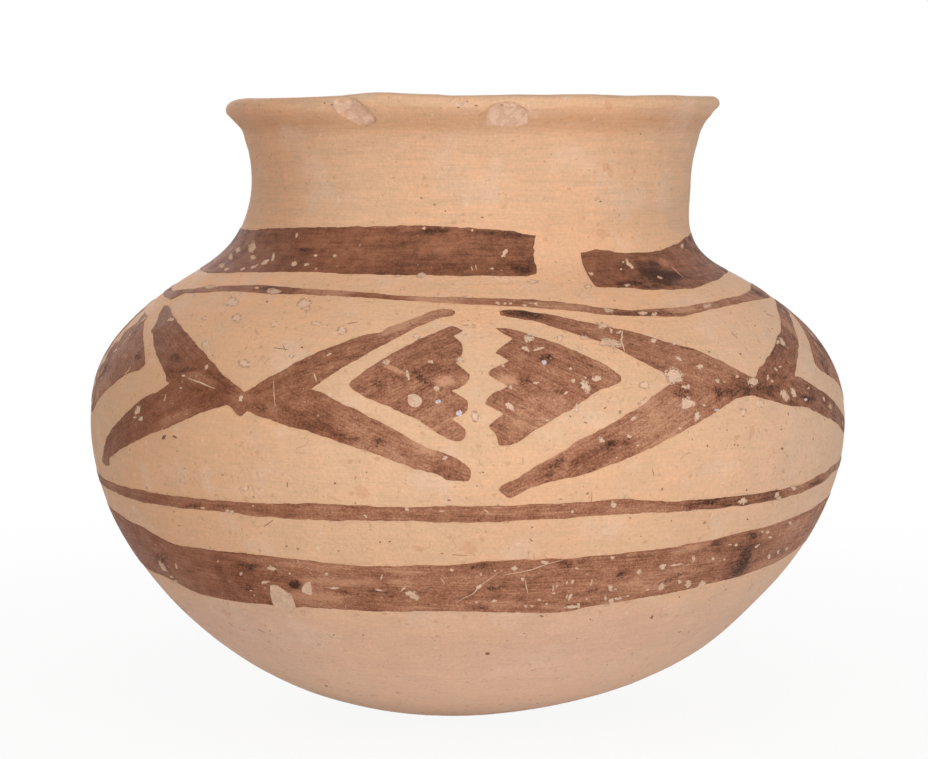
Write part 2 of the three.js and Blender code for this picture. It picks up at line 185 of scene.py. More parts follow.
# Low places and swellings that the hands left: angle, height, reach up and down, and how far out.
# BULGE_TURN is how many degrees each reaches round the jar.
BULGES = [
    (90, 15.5, 9.5, 1.55), (90, 2, 3, -0.55), (-90, 14, 20, 0.3), (-90, 62, 12, -0.3),
    (-90, 100, 13, -0.85), (90, 105, 4, 0.1), (90, 115, 6, -0.35), (90, 123, 8, -0.4),
    (90, 146, 2.6, -0.6), (90, 150.3, 1.6, -0.6), (-90, 146.5, 2, -0.55), (-90, 151, 1.5, 0.15),
    (-90, 154, 1.5, -0.3), (-95, 133, 8, -0.4),
]
BULGE_TURN = 52

# A soft crease under the lip: its place up the wall, its width and its depth
CREASE, CREASE_WIDTH, CREASE_DEPTH = 92.7, 1.3, 0.3

# Outlines of the motifs, by degrees from the motif's own angle
SLENDER_CROSS = [
    (0.4, 15.2), (-2, 17.2), (-3.9, 18.5), (-7, 21.7), (-12, 25.9), (-17, 29.3), (-22, 32.3),
    (-27, 34.8), (-32, 37.1), (-35.1, 37.3), (-33.2, 34.8), (-30.1, 31.3), (-29.1, 28.8),
    (-27, 27.6), (-23.9, 24.5), (-22, 22.9), (-17, 18.2), (-15.7, 16), (-14.7, 15.5), (-17, 13.2),
    (-19.3, 12), (-22, 9.8), (-26.2, 5.7), (-29.3, 2.9), (-32, -0.2), (-33.9, -3.3), (-35.8, -6.2),
    (-34.5, -7), (-32, -6.5), (-31.6, -4.9), (-27, -2.1), (-22, 0.7), (-17, 3.5), (-12, 6),
    (-10.8, 6.9), (-7, 9.3), (-3.2, 11.2), (-1.6, 11.7), (-0.1, 9.8), (0.7, 9.6), (1.5, 10.7),
    (3, 10), (5.4, 9), (8, 8), (10.6, 7.2), (13, 6.2), (15.4, 5), (18, 3.7), (20.6, 2.5),
    (23, 1.2), (25.4, -0.2), (28, -1.3), (29, -1.8), (30.6, -3.1), (32.7, -3.2), (33.4, -2.7),
    (33.4, -0.7), (32.2, 1), (30.6, 2.6), (28, 4), (25.4, 6), (23, 8.2), (20.6, 10.1), (18, 12.1),
    (15.4, 13.7), (13, 15.6), (11.2, 16.5), (13, 19), (15.7, 22.6), (18, 25.1), (20.3, 27.9),
    (23, 31), (25.1, 33.5), (28, 36.2), (29, 37.1), (31.4, 38.2), (31.9, 39), (31.4, 40),
    (29.9, 40.4), (28, 39.5), (26.1, 37.9), (23, 35.4), (21.2, 34), (19.8, 32.1), (18, 31.7),
    (15.7, 30), (13, 27.6), (10.6, 25.7), (8, 22.9), (5.4, 20.1), (3, 17.3), (0.6, 14.8),
]
BROAD_CROSS = [
    (0.3, 17.3), (-0.7, 18.2), (-3.2, 20.7), (-5.5, 22.9), (-7.8, 25.1), (-10.5, 26.9),
    (-12.8, 28.2), (-15.5, 30.1), (-17.8, 31.8), (-20.5, 32.9), (-23.6, 34.6), (-25.5, 35.4),
    (-28.2, 36.8), (-30.5, 38), (-32.8, 38.7), (-35.5, 39.7), (-38.8, 39.7), (-39.3, 38.7),
    (-39.2, 38), (-37.4, 37.3), (-35.5, 36.5), (-33.6, 36), (-32, 34.7), (-30.5, 33.5),
    (-28.2, 31.8), (-26.3, 30.4), (-25.1, 29.8), (-22.4, 27.6), (-20.5, 25.1), (-18.6, 22.9),
    (-17, 21.2), (-14.5, 18.7), (-15.5, 17.1), (-18.6, 14.7), (-20.5, 12.8), (-22.8, 11),
    (-25.5, 9), (-28.2, 6.9), (-30.5, 5.4), (-32.8, 3.2), (-35.5, 0.7), (-37.8, -1.3), (-39, -2.9),
    (-40.7, -4), (-41.3, -5.2), (-40.7, -6.5), (-39.7, -7), (-38.2, -5.7), (-35.5, -4),
    (-32.8, -3.1), (-30.5, -2.4), (-27.8, -1), (-25.5, 0.1), (-22.8, 1.5), (-20.5, 2.8),
    (-17.8, 4.6), (-15.5, 6), (-12.8, 7.6), (-10.5, 9), (-8.2, 10.4), (-5.5, 12.1), (-3.2, 12.8),
    (-0.7, 13), (0.4, 12.3), (2.6, 11.5), (4.5, 10.6), (7, 9.6), (9.5, 9), (12, 8.5), (14.5, 7.3),
    (17, 6.2), (19.5, 5), (22, 4), (24.5, 2.9), (27, 1.8), (29.5, 0.4), (33, -1.1), (34, 1.4),
    (29.5, 4.6), (27, 6.2), (24.5, 8), (22, 9.6), (19.5, 11.2), (17, 12.6), (14.5, 14.6),
    (13.3, 15.6), (11.5, 16.1), (12.9, 17.6), (14.5, 19.3), (17, 21.5), (19.5, 23.5), (22, 25.7),
    (24.5, 28.2), (27, 29.6), (29.5, 31.2), (34.5, 33.1), (38.5, 34.9), (37.5, 36.9), (33.9, 36.2),
    (29.5, 35.4), (27, 34.3), (24.5, 32.9), (22, 31.2), (19.5, 29.6), (17, 27.9), (14.5, 26.8),
    (12, 25.1), (9.5, 23.5), (7, 21.8), (4.5, 20.1), (2.6, 18.7), (1.2, 17.1),
]
LEFTWARD_TRIANGLE = [
    (-16.2, 17.9), (-15, 20.1), (-10, 26.8), (-3.4, 33.2), (-1.5, 34.4), (-0.1, 32.9),
    (-1.5, 31.3), (-0.2, 28.9), (-0.3, 25.9), (-1.2, 23.5), (0.8, 20.7), (0, 18.5), (-1.9, 16.5),
    (0.2, 14.4), (-0.2, 11.8), (-1.9, 10.4), (-0.2, 7.9), (-0.6, 5.9), (-2.5, 5.9), (-6.3, 9.8),
    (-10, 12.6), (-15, 15.9),
]
RIGHTWARD_TRIANGLE = [
    (1.2, 33.7), (3.3, 33.3), (6, 31.8), (11, 27.9), (16, 23.2), (18.5, 19.6), (17.8, 17.9),
    (14.5, 16.2), (11, 12.9), (6, 8.7), (2.2, 4.9), (0.2, 4.7), (-0.1, 6.3), (-1.1, 9), (1, 11.5),
    (-1.4, 13.5), (-0.5, 15.7), (1.8, 17.7), (-0.6, 20.3), (-0.2, 21.8), (2.5, 24), (0.6, 26.2),
    (2.2, 28.5), (3.5, 30.2),
]

# Height at which a cross's strokes meet, and the way that the brush went in either motif
CROSS_MIDDLE, CROSS_STROKE, TRIANGLE_STROKE = 14.5, (0.91, 0.41), (0.86, 0.5)

# Where each motif stands: its name, outline, angle, and stretch round the jar
MOTIFS = [
    ("cross_front_left", SLENDER_CROSS, -33, 1),
    ("cross_front_right", BROAD_CROSS, 45.5, 1),
    ("cross_back_right", SLENDER_CROSS, 139.5, 1.04),
    ("cross_back_left", BROAD_CROSS, 233.5, 1),
    ("triangle_front_left", LEFTWARD_TRIANGLE, 0, 1),
    ("triangle_front_right", RIGHTWARD_TRIANGLE, 4, 1),
    ("triangle_right_near", LEFTWARD_TRIANGLE, 88, 1.3),
    ("triangle_right_far", RIGHTWARD_TRIANGLE, 93, 1.15),
    ("triangle_back_right", LEFTWARD_TRIANGLE, 184, 1.3),
    ("triangle_back_left", RIGHTWARD_TRIANGLE, 189, 1.15),
    ("triangle_left_far", LEFTWARD_TRIANGLE, 277.5, 1.3),
    ("triangle_left_near", RIGHTWARD_TRIANGLE, 282.2, 1.15),
]

# Marks read off the surface: angle, millimetres up, length, width and tilt
BARE_SPOTS = [
    (45.8, 16.2, 3.3, 1.9, 5), (-60.8, 61.2, 5.1, 2, -25), (-68, 59.9, 4.2, 1.3, -15),
    (-68.5, 57.7, 5.7, 1.1, -20), (-56.5, 58.2, 2.9, 1.1, -10), (-49.8, 56.9, 2.2, 1.7, -30),
    (-48.5, 58.7, 2.9, 1, -45), (-52.2, 55.2, 1.9, 1.4, 15), (-55.2, 53.9, 1.9, 1.3, -10),
    (-67.2, 54.4, 4.7, 1.7, -5), (-62, 53.4, 2.4, 1.2, -15), (-39.8, 56.7, 2, 1.3, -45),
    (-36.2, 56.7, 1.4, 0.9, 0), (-35.5, 59.7, 1, 0.6, -25), (-30.2, 59.7, 1, 0.6, -30),
    (-32.8, 55.4, 1, 0.5, -40), (-44.8, 64.9, 1.3, 0.8, -60), (-58.2, 45.9, 5.1, 1.4, 5),
    (-37.8, 45.7, 4.2, 1.7, -10), (-43, 46.7, 1.5, 0.7, -20), (-45, 17.7, 1.5, 0.5, -10),
    (-40.8, 20.4, 1.5, 0.9, -55), (-54.5, 8.2, 2.3, 1.6, 35), (-53.2, 6.4, 1.9, 1.1, 20),
    (-55, 6.4, 1.4, 0.5, 5), (-32.8, 13.4, 1.3, 1, 80), (-20.2, 25.4, 1.1, 0.8, 5),
    (-22.5, 13.4, 0.5, 0.4, -5), (-58.8, 33.2, 2.7, 1.4, 0), (-44.8, 14.7, 0.9, 0.4, 0),
    (-70.8, 26.4, 2.1, 0.6, -10), (-11.2, 23.7, 1.5, 1.4, 35), (-8, 20.4, 2.2, 0.6, -75),
    (-4, 17.2, 1.1, 1, -15), (-4.8, 23.9, 1.2, 0.6, -15), (-0.5, 24.4, 1.8, 1.7, 65),
    (10, 30.2, 2.2, 1.7, 60), (9.2, 27.2, 1.8, 1, -35), (11.2, 27.2, 2.7, 0.7, 20),
    (5.8, 13.2, 2.3, 1.2, -50), (16.8, 17.4, 2.9, 1.8, -80), (18.8, 19.2, 2.3, 1.2, 15),
    (15.2, 18.7, 1, 0.8, 10), (15.2, 21.7, 0.6, 0.5, 30), (17, 19.4, 0.7, 0.5, 10),
    (13.8, 15.9, 1.4, 0.5, 20), (9.8, 18.4, 1.1, 0.6, 0), (6.2, 17.4, 1, 0.7, 75),
    (5.5, 22.7, 0.7, 0.7, 55), (10.8, 9.9, 0.6, 0.4, 0), (-3, 1.9, 1.3, 0.8, 0),
    (18.8, 30.4, 1.8, 1.2, 15), (19.2, 35.7, 0.7, 0.5, 20), (6.2, 42.4, 1.2, 1.1, 60),
    (7.5, 42.2, 1.1, 0.7, 75), (8.5, 42.2, 0.9, 0.6, 70), (10.8, 41.4, 1.3, 1.1, 40),
    (12, 42.2, 0.9, 0.6, 65), (13, 41.9, 1.3, 0.9, 65), (25.8, 39.2, 2.3, 1.6, 10),
    (18, 5.2, 1.1, 0.7, 75), (15, 12.4, 1.8, 0.7, 80), (31, 18.9, 4.8, 3.4, 20),
    (31.8, 12.4, 3.4, 2.3, 5), (33.2, 9.4, 2.4, 1.3, 65), (36.5, 20.9, 2, 1.2, 15),
    (38.5, 17.2, 1.6, 1, 15), (39.8, 16.7, 1.1, 0.4, 0), (42.8, 17.7, 1.1, 0.7, 10),
    (33.2, 23.4, 1.6, 0.9, -35), (33.8, 27.4, 1, 0.6, 30), (30.5, 28.7, 1.4, 1.2, 5),
    (23, 9.7, 2, 0.6, 30), (22, 5.7, 1.1, 0.8, 0), (23.2, 3.7, 0.6, 0.4, -5),
    (18, 5.2, 1.4, 1.1, 0), (20.2, 1.2, 0.6, 0.4, -5), (30, 6.9, 0.8, 0.4, 0),
    (34.8, 11.7, 0.9, 0.5, 0), (32.5, 16.2, 2, 1.1, 5), (52.2, 11.9, 2.8, 2.5, -65),
    (54.8, 12.2, 2.9, 2, -60), (51.5, 12.7, 1.6, 0.9, 30), (49.5, 16.7, 1.6, 0.7, 35),
    (50.2, 15.7, 1.3, 0.5, 0), (52.5, 18.4, 1.5, 0.9, -50), (54, 18.9, 1.3, 0.4, 0),
    (59.8, 25.2, 3, 1.7, 35), (58.2, 25.2, 2.6, 0.7, 20), (60, 12.7, 1.2, 0.5, 0),
    (67.2, 7.2, 2.6, 1.1, 5), (22.8, 28.4, 5.1, 2.5, -10), (23, 33.9, 2.3, 1.5, 15),
    (24, 32.2, 1.7, 0.4, 60), (25.2, 31.7, 1.4, 0.8, 15), (25.8, 39.2, 2, 1.3, 25),
    (32, 37.7, 2.5, 1.2, 10), (34.2, 37.2, 2, 1.1, 20), (48, 38.7, 3.2, 1, 15),
    (39.5, 56.7, 3, 1.5, -80), (36.2, 55.2, 0.9, 0.6, 40), (38.2, 57.7, 1, 0.5, 10),
    (34, 48.7, 1.7, 0.9, 30), (44.8, 51.4, 1.5, 1.1, 35), (65.5, 61.4, 2.8, 0.9, 20),
    (-58.5, -32.6, 4.1, 3, 35), (-52.8, -30.8, 2.3, 0.8, 55), (-57.5, -35.3, 2.5, 0.6, 15),
    (-57.2, -36.8, 3.7, 0.8, 15), (-36.5, -29.3, 1.5, 0.6, 50), (-40.5, -26.6, 0.9, 0.4, 45),
    (-30, -26.8, 2, 1.3, -5), (-21, -27.1, 1.1, 0.7, 25), (-20.2, -31.1, 2.8, 0.6, 5),
    (-12.5, -27.3, 1.6, 0.4, 70), (-36, -34.3, 0.8, 0.4, 40), (-35.8, -35.8, 0.8, 0.4, 45),
    (-35.5, -12.6, 1.6, 0.7, 10), (-34.8, -12.8, 1.5, 0.8, 10), (-30.8, -10.8, 0.6, 0.4, 15),
    (-40.2, -12.6, 1.4, 0.4, 5), (-14, -11.6, 1, 0.5, -30), (-32.2, -31.1, 2.2, 0.7, 10),
    (-27.2, -27.8, 0.7, 0.5, 50), (-13.2, -31.1, 1.6, 0.5, -10), (-8.2, -9.8, 0.9, 0.7, 5),
    (14.2, -10.6, 0.8, 0.7, -50), (20, -9.3, 1.5, 1.2, -60), (-3.5, -10.1, 0.9, 0.3, 0),
    (-8, -32.3, 2.7, 1.9, -30), (-8.8, -31.8, 1.2, 1.1, 25), (-9.5, -30.6, 2.1, 0.5, 50),
    (-2.2, -24.8, 0.7, 0.7, 5), (6.8, -24.6, 1.2, 1.1, -30), (4, -25.1, 0.5, 0.4, -10),
    (2, -25.8, 0.5, 0.4, -45), (2, -26.3, 0.5, 0.4, -50), (1.8, -29.6, 2.3, 0.8, 50),
    (11.2, -23.1, 1.9, 0.7, -10), (8.2, -27.6, 0.9, 0.8, -65), (13, -30.3, 2.4, 0.4, -85),
    (13.5, -29.8, 1.7, 0.3, 90), (15, -29.1, 0.9, 0.5, -90), (15.8, -28.8, 1.1, 0.6, 85),
    (18.8, -29.3, 1.7, 0.4, -85), (13.2, -32.1, 1.2, 0.6, -5), (16, -33.3, 1.9, 0.7, 90),
    (15.5, -33.1, 1.3, 0.4, 85), (16.8, -36.6, 3.3, 1.1, 0), (17.8, -36.3, 2, 0.7, -75),
    (12.5, -35.3, 0.9, 0.6, -15), (9.2, -35.6, 1.3, 0.6, -50), (10.2, -35.8, 0.8, 0.6, -25),
    (4.2, -33.8, 1.1, 0.7, -5), (1.5, -34.1, 0.8, 0.7, -10), (22.2, -31.3, 2, 1.2, -45),
    (23.2, -31.8, 0.8, 0.5, -30), (22, -34.3, 1.6, 0.6, -80), (23.2, -35.6, 2.1, 1.1, -70),
    (24.2, -34.8, 1.8, 0.7, -10), (25.8, -34.3, 0.8, 0.5, -40), (22, -36.8, 1.5, 0.7, -10),
    (23, -36.8, 1.4, 0.6, -10), (26.2, -27.1, 1.5, 1, -30), (21.2, -22.8, 0.9, 0.7, -25),
    (30.2, -26.3, 1.8, 1.5, 10), (32.5, -26.1, 4, 0.6, 0), (16, -25.1, 1.1, 0.5, -40),
    (31.5, -32.3, 2.2, 1.6, -65), (29, -32.8, 0.8, 0.5, -40), (34.5, -31.3, 1.3, 0.6, -60),
    (36.8, -32.6, 2.9, 1.4, -55), (18.8, -34.3, 0.6, 0.4, -45), (11.2, -33.8, 0.8, 0.6, -15),
    (42, -11.1, 2.6, 1.5, -15), (49.8, -11.1, 1.9, 1.4, -20), (50.8, -12.1, 2, 0.7, -10),
    (54.5, -10.3, 3, 1.1, -15), (35.5, -25.1, 1.9, 0.9, -75), (39.5, -25.6, 1.3, 0.7, -30),
    (42.2, -26.3, 1.1, 0.5, -20), (43.5, -22.6, 1.4, 0.7, -25), (42.2, -22.3, 1.2, 0.4, -10),
    (49.2, -24.1, 1.8, 0.8, 15), (49, -20.3, 1.4, 0.6, -20), (50.5, -20.6, 1.7, 0.7, -20),
    (52, -22.3, 1.5, 0.5, -15), (56.8, -19.6, 2.3, 0.7, -15), (34.8, -31.6, 1, 0.7, -45),
    (39.8, -33.1, 3.1, 1.6, -25), (55, -28.3, 2.5, 1, -35), (57.8, -27.8, 2.5, 0.9, -35),
    (61.2, -27.8, 2.6, 0.8, -25), (9.2, 60.9, 2.4, 1, 65), (-30.2, 59.7, 1, 0.6, -15),
    (-10.2, 67.2, 0.7, 0.6, -15), (1.2, 66.7, 0.6, 0.5, -10), (-8.2, 53.4, 2, 1.5, -15),
    (-13, 53.2, 1.7, 0.7, 0), (6.2, 55.9, 0.8, 0.7, 0), (27.8, 53.9, 1.5, 1, 40),
    (-24.5, 67.9, 0.6, 0.4, -30),
]
LIME_RINGS = [
    (-28.8, 41.4, 5.2, 3.3, -45), (-46, 41.2, 5.1, 2.4, -20), (-41, 35.4, 3.6, 2.4, -30),
    (-49, 34.7, 2.4, 1.1, -15), (-32, 33.9, 2.2, 1.5, -30), (-24.2, 34.7, 2.6, 1.4, -5),
    (-19.5, 32.9, 2.5, 2, -40), (-33.8, 21.9, 3.2, 1.8, -10), (-43.8, 26.7, 2.6, 1.4, -15),
    (-26.2, 24.7, 1.5, 1.2, -40), (11.2, 16.4, 2.4, 1.8, 5), (17.2, 41.2, 3.1, 2.3, 30),
    (1, 10.9, 2, 1.5, 85), (-7.2, 31.2, 1.5, 1.2, -80), (15, 30.4, 1.9, 1.4, 55),
    (-7.5, 1.4, 1.7, 1.4, 5), (22.8, 33.9, 2.9, 1.6, 0), (1, 44.7, 2.7, 1.1, 0),
    (25.2, 12.7, 3.2, 2.4, 10), (25.8, 17.2, 2.9, 1.4, 0), (45.8, 10.9, 3.2, 1.7, 0),
    (41.8, 9.4, 2.1, 1.6, 35), (-31.8, -6.8, 1.9, 1.4, 15), (-26.5, -11.3, 2.1, 1.3, 10),
    (-6, -11.3, 1.4, 1.1, 5), (37.5, -6.3, 1.9, 0.8, -10), (32.5, -12.1, 2.9, 0.7, -5),
    (28.5, 51.7, 2.4, 1.2, 50), (14.2, 51.2, 2.4, 1.4, 5), (-11.2, 48.2, 1.3, 0.9, -70),
    (-16.2, 50.7, 1.3, 0.9, -65), (25, 48.7, 2.2, 1.4, 30),
]
WHITE_SPECKS = [
    (-3.8, 14.2, 1.2, 0.7, 10), (-1, 11.7, 1.3, 1.2, 5), (11.5, 23.4, 1.3, 1.1, 40),
    (36.8, 10.4, 1.6, 0.5, 5), (57.8, 10.2, 1.5, 0.6, 0),
]
DARK_SPECKS = [
    (-37.2, 41.7, 1.1, 0.6, -35), (-25, 27.2, 0.8, 0.6, -15), (-47.2, 2.9, 2.4, 1.3, 35),
    (-44.8, 3.4, 2.2, 0.6, -15), (-61.5, 29.2, 1.8, 0.6, -5), (-42.8, -3.6, 0.6, 0.4, 10),
    (-44.2, 0.2, 0.6, 0.4, 10), (2, -1.3, 0.6, 0.4, 0), (1.2, -4.3, 0.4, 0.4, -5),
    (-13.5, -1.6, 0.4, 0.4, 5), (16, 9.2, 1.2, 0.4, -20), (19, 12.2, 0.6, 0.4, 5),
    (14, 10.7, 0.5, 0.4, 5), (-4.8, -1.1, 0.4, 0.3, 0), (31.5, 22.7, 0.8, 0.5, 35),
    (32.2, 20.2, 0.6, 0.4, 30), (39.8, 24.7, 0.9, 0.5, 25), (46.2, 23.4, 1.1, 0.6, 20),
    (34.5, 2.7, 0.7, 0.4, -5), (38.2, 5.7, 0.6, 0.4, 0), (49.8, -0.1, 0.8, 0.6, -10),
    (49.8, 4.4, 0.8, 0.4, -5), (19.2, 12.4, 0.4, 0.3, 30), (-35.5, -4.1, 0.7, 0.5, 10),
    (-18, -4.3, 0.7, 0.5, 5), (-18.5, -20.8, 0.7, 0.5, 15), (-12.2, -18.1, 0.6, 0.5, 50),
    (-10.8, -17.8, 0.6, 0.5, 25), (-26.5, -20.3, 0.7, 0.5, 30), (-46.8, -18.3, 0.8, 0.4, 20),
    (-47, -14.8, 0.8, 0.4, 20), (-19, -15.3, 0.4, 0.3, 50), (-15.2, -37.3, 1.4, 0.7, 10),
    (-17.8, -46.6, 0.7, 0.4, 70), (-2.5, -7.6, 1, 0.5, 0), (1.2, -4.3, 0.4, 0.4, -5),
    (2.5, -15.1, 0.4, 0.4, -35), (8.8, -14.1, 0.6, 0.4, -5), (8.8, -17.3, 1.2, 0.4, -45),
    (12.5, -7.6, 1, 0.2, 0), (27.2, -6.6, 0.6, 0.4, -10), (22.8, -12.8, 0.6, 0.4, -15),
    (-3.5, -20.6, 0.6, 0.4, 0), (25, -17.6, 0.5, 0.3, -20), (29.5, -14.3, 0.5, 0.4, -35),
    (33, -42.8, 1.2, 0.6, -45), (20.8, -41.3, 0.7, 0.4, -55), (12.2, -39.3, 1.4, 0.5, -15),
    (-5, -12.1, 0.5, 0.4, 0), (34.5, 2.4, 0.6, 0.4, -5), (39.5, 2.2, 0.6, 0.4, -5),
    (50, -0.1, 0.9, 0.6, -5), (27.2, -6.3, 0.6, 0.3, -5), (42.5, -8.6, 0.7, 0.5, -60),
    (44.2, -16.1, 1, 0.5, -20), (33, -42.3, 1, 0.5, -35), (36.5, -36.6, 0.8, 0.4, -35),
    (3.2, 69.7, 0.9, 0.4, -10), (33.5, 73.2, 0.9, 0.4, 0), (-5.8, 71.2, 0.6, 0.5, -10),
]
SOOT = [
    (-49, 22.2, 5.9, 2.7, -10), (-45.2, 19.2, 13.4, 1.3, 5), (-60, 21.2, 5.6, 2.2, -15),
    (-29.5, 11.9, 4.9, 2.2, -15), (-23.5, 23.2, 3.8, 1.1, 15), (-39.5, 61.2, 5.1, 1.3, 0),
    (-40.5, 46.7, 3.9, 1.3, 0), (-6.2, 19.9, 6.2, 2.2, -45, 1), (-3.8, 21.9, 7.9, 2.2, 0, 0.8),
    (-12.2, 18.2, 3.6, 1.9, 0), (0.8, 19.4, 2.2, 1.5, 0), (12.2, 24.9, 4.1, 1.8, 0),
    (8.2, 19.2, 3.1, 1.2, 0), (13.2, 16.2, 5.4, 0.7, 0), (-16, 5.9, 6.4, 1.3, -10),
    (-12, 5.2, 3.6, 2.8, 5), (-12.2, 9.4, 2, 1, 0), (10.8, 38.2, 7.6, 2.5, -10),
    (11.8, 0.4, 5.3, 2, 35), (19.5, 4.4, 3.3, 0.9, 5), (10.8, -2.1, 2, 1.9, -40),
    (-12, 44.4, 6.7, 1.4, -10, 0.4), (44, 49.6, 15, 4.6, -16, 0.8), (35.5, 49.4, 10.4, 2.1, 0),
    (42, 14.2, 12.9, 2, 5), (37.8, 14.2, 4.6, 2.4, 60), (31.5, 14.7, 5.5, 3.1, 5),
    (21.5, 4.7, 8.2, 1.2, 10), (58.5, 10.4, 9.9, 1.6, -5), (48.8, 14.2, 10.1, 2.1, -5),
    (37, 37.4, 8.8, 1.2, -5), (63, -10.6, 12.1, 1.2, 0), (-34.4, -26.9, 7, 2, 0, 1.3),
    (-26.9, -30.9, 3.4, 2.6, 20, 2.2), (-29.8, -27.3, 2.1, 1.4, -25),
    (-56.8, -29.3, 11.4, 3.1, 15), (-19, -32.1, 3.3, 1.6, -5), (-13.5, -31.6, 5.9, 1.7, -15),
    (-11.5, -32.6, 2.3, 1, 5), (-42, -12.3, 6.8, 1.1, 5), (-36.3, -34, 3.4, 2, 30, 0.7),
    (-49.5, -31.6, 6.8, 1.4, 10), (-36.8, -11.6, 5.6, 1.2, 5), (14.2, -24.1, 4.2, 1.7, -5),
    (16.8, -23.6, 3.8, 0.9, -5), (1.8, -23.8, 5.3, 1.3, 0), (4, -30.1, 3.6, 2, -5),
    (1.5, -35.8, 7.6, 1.7, 0), (23.2, -27.3, 3.1, 2.8, 25), (32.5, -30.3, 6.7, 1.8, 25),
    (32, -11.1, 2.9, 1.5, -10), (20, -31.8, 7.7, 0.9, -10), (-11.5, -33.3, 1.9, 0.9, 5),
    (47.5, -27.6, 9.4, 5, -60, 1.2), (47, -31.1, 6.9, 2.6, -20), (39.2, -22.1, 5.1, 2.9, -40),
    (35.8, -10.6, 10.6, 1.4, -10), (46.8, -20.8, 5.2, 1.8, -15), (9.2, 65.7, 15.3, 1.6, -5, 0.6),
    (12.8, 55.7, 5.3, 3, 0, 0.8), (46, 52.4, 12, 5, -8, 1.3), (49, 51.6, 8, 3.6, 0, 1.1),
    (40, 47.6, 8, 1.8, 0, 0.8), (-6.8, 66.7, 7, 1.2, 0, 0.6),
]
WORN = [
    (-2.9, 18.9, 4.4, 2.4, 0, 2.2), (-10, 21.9, 6, 1.2, -24, 1.8), (6, 19.2, 5.4, 1.6, 0, 1.8),
    (-5, 43.7, 10, 1.2, -5), (-10, 34.4, 11.4, 2.8, 40), (-5.5, 3.7, 6.5, 1.8, -25),
    (0.2, 19.4, 2.6, 1.9, 0), (-41, 17.2, 12.4, 2.8, -10), (-45.2, 7.7, 14.8, 3, 20),
    (51.2, 56.9, 4.5, 3, 30), (22.8, 28.4, 6.5, 3.1, -10), (33.8, 38.7, 6.7, 1, -5),
    (25.8, 12.7, 6.3, 3.1, 25), (-24.2, -25.3, 18.1, 2.3, 0), (-20.5, -29.3, 19.3, 3, 0),
    (-23, -34.3, 15, 2.6, 0), (-8.5, -25.6, 9, 1.7, 0), (-8.8, -36.3, 9.1, 1.3, 0),
    (14.8, -36.6, 9.5, 1.3, -5), (-9.5, -28.8, 5.5, 2.9, 5), (34.5, -21.8, 13, 2.4, 10),
    (54.8, -30.6, 13.4, 4.1, 0), (-5, 62.4, 15.1, 3.9, 0, 0.4), (-9, 44.2, 11.7, 1.1, -5),
    (-28, 60.9, 10.9, 4.2, -5, 0.35),
]
SCRATCHES = [
    (0.36, [(-43.8, 17.2), (-41.0, 16.4), (-37.8, 15.2)]),
    (0.36, [(-47.8, 12.9), (-47.8, 11.2)]),
    (0.18, [(-28.0, 18.4), (-27.0, 12.2)]),
    (0.36, [(-21.8, 20.4), (-21.2, 18.4)]),
    (0.36, [(-61.5, 16.2), (-60.8, 16.9), (-60.5, 18.2)]),
    (0.45, [(24.0, 33.2), (23.8, 31.4)]),
    (0.23, [(0.8, 36.2), (-0.2, 35.9)]),
    (0.41, [(26.0, 32.2), (24.8, 28.9), (24.5, 25.9)]),
    (0.27, [(52.8, 55.4), (52.2, 50.9)]),
    (0.23, [(-1.5, -34.1), (1.0, -31.6), (1.8, -29.6), (4.5, -25.6)]),
    (0.23, [(5.2, -26.3), (9.2, -25.1), (11.2, -23.8), (13.8, -22.6)]),
    (0.23, [(8.5, -27.8), (9.2, -31.8)]),
    (0.27, [(-3.8, -27.1), (-3.2, -28.8)]),
    (0.27, [(2.2, -9.6), (2.8, -10.6)]),
    (0.28, [(1.8, 56.7), (2.2, 55.2)]),
    (0.23, [(2.8, 57.2), (3.0, 55.4)]),
]
CRACKS = [
    (0.18, [(-29.8, 26.7), (-27.2, 26.4)]),
    (0.18, [(-28.5, 27.9), (-27.5, 25.9)]),
    (0.18, [(-0.2, 36.2), (1.2, 36.4)]),
    (0.18, [(-0.2, 34.9), (1.0, 34.7)]),
    (0.18, [(-19.0, 34.9), (-17.2, 35.7)]),
    (0.18, [(47.8, 29.4), (48.2, 27.7)]),
    (0.18, [(64.0, 33.9), (65.8, 32.4)]),
    (0.23, [(-25.0, -4.6), (-25.0, -5.8)]),
    (0.18, [(-40.2, -48.6), (-39.0, -49.6)]),
    (0.18, [(-29.5, -15.6), (-27.8, -13.8)]),
    (0.18, [(-15.0, -2.6), (-15.2, -3.3)]),
    (0.14, [(-2.2, -20.8), (0.0, -21.1)]),
    (0.14, [(16.8, -6.1), (16.8, -8.6)]),
    (0.14, [(25.5, -1.6), (25.8, -3.3)]),
]

# Dark grains and small dark breaks along the lip
LIP_GRAINS = [
    (-3.2, 97.2, 0.7, 0.4, 0), (-1.4, 98.6, 0.6, 0.3, 0), (0.5, 97.6, 0.8, 0.4, 10),
    (6, 97.6, 1.1, 0.7, 0), (-25.3, 97.5, 1.4, 0.5, -50), (-24.2, 96.2, 1.1, 0.4, -62),
    (-27.4, 98.9, 0.8, 0.5, 0), (-32, 97.7, 0.7, 0.5, 0), (-30.5, 98.8, 0.6, 0.4, 0),
    (8.9, 93.6, 0.5, 0.3, 0), (-34, 98.2, 0.6, 0.4, 0), (-29, 95.4, 0.4, 0.3, 0),
]

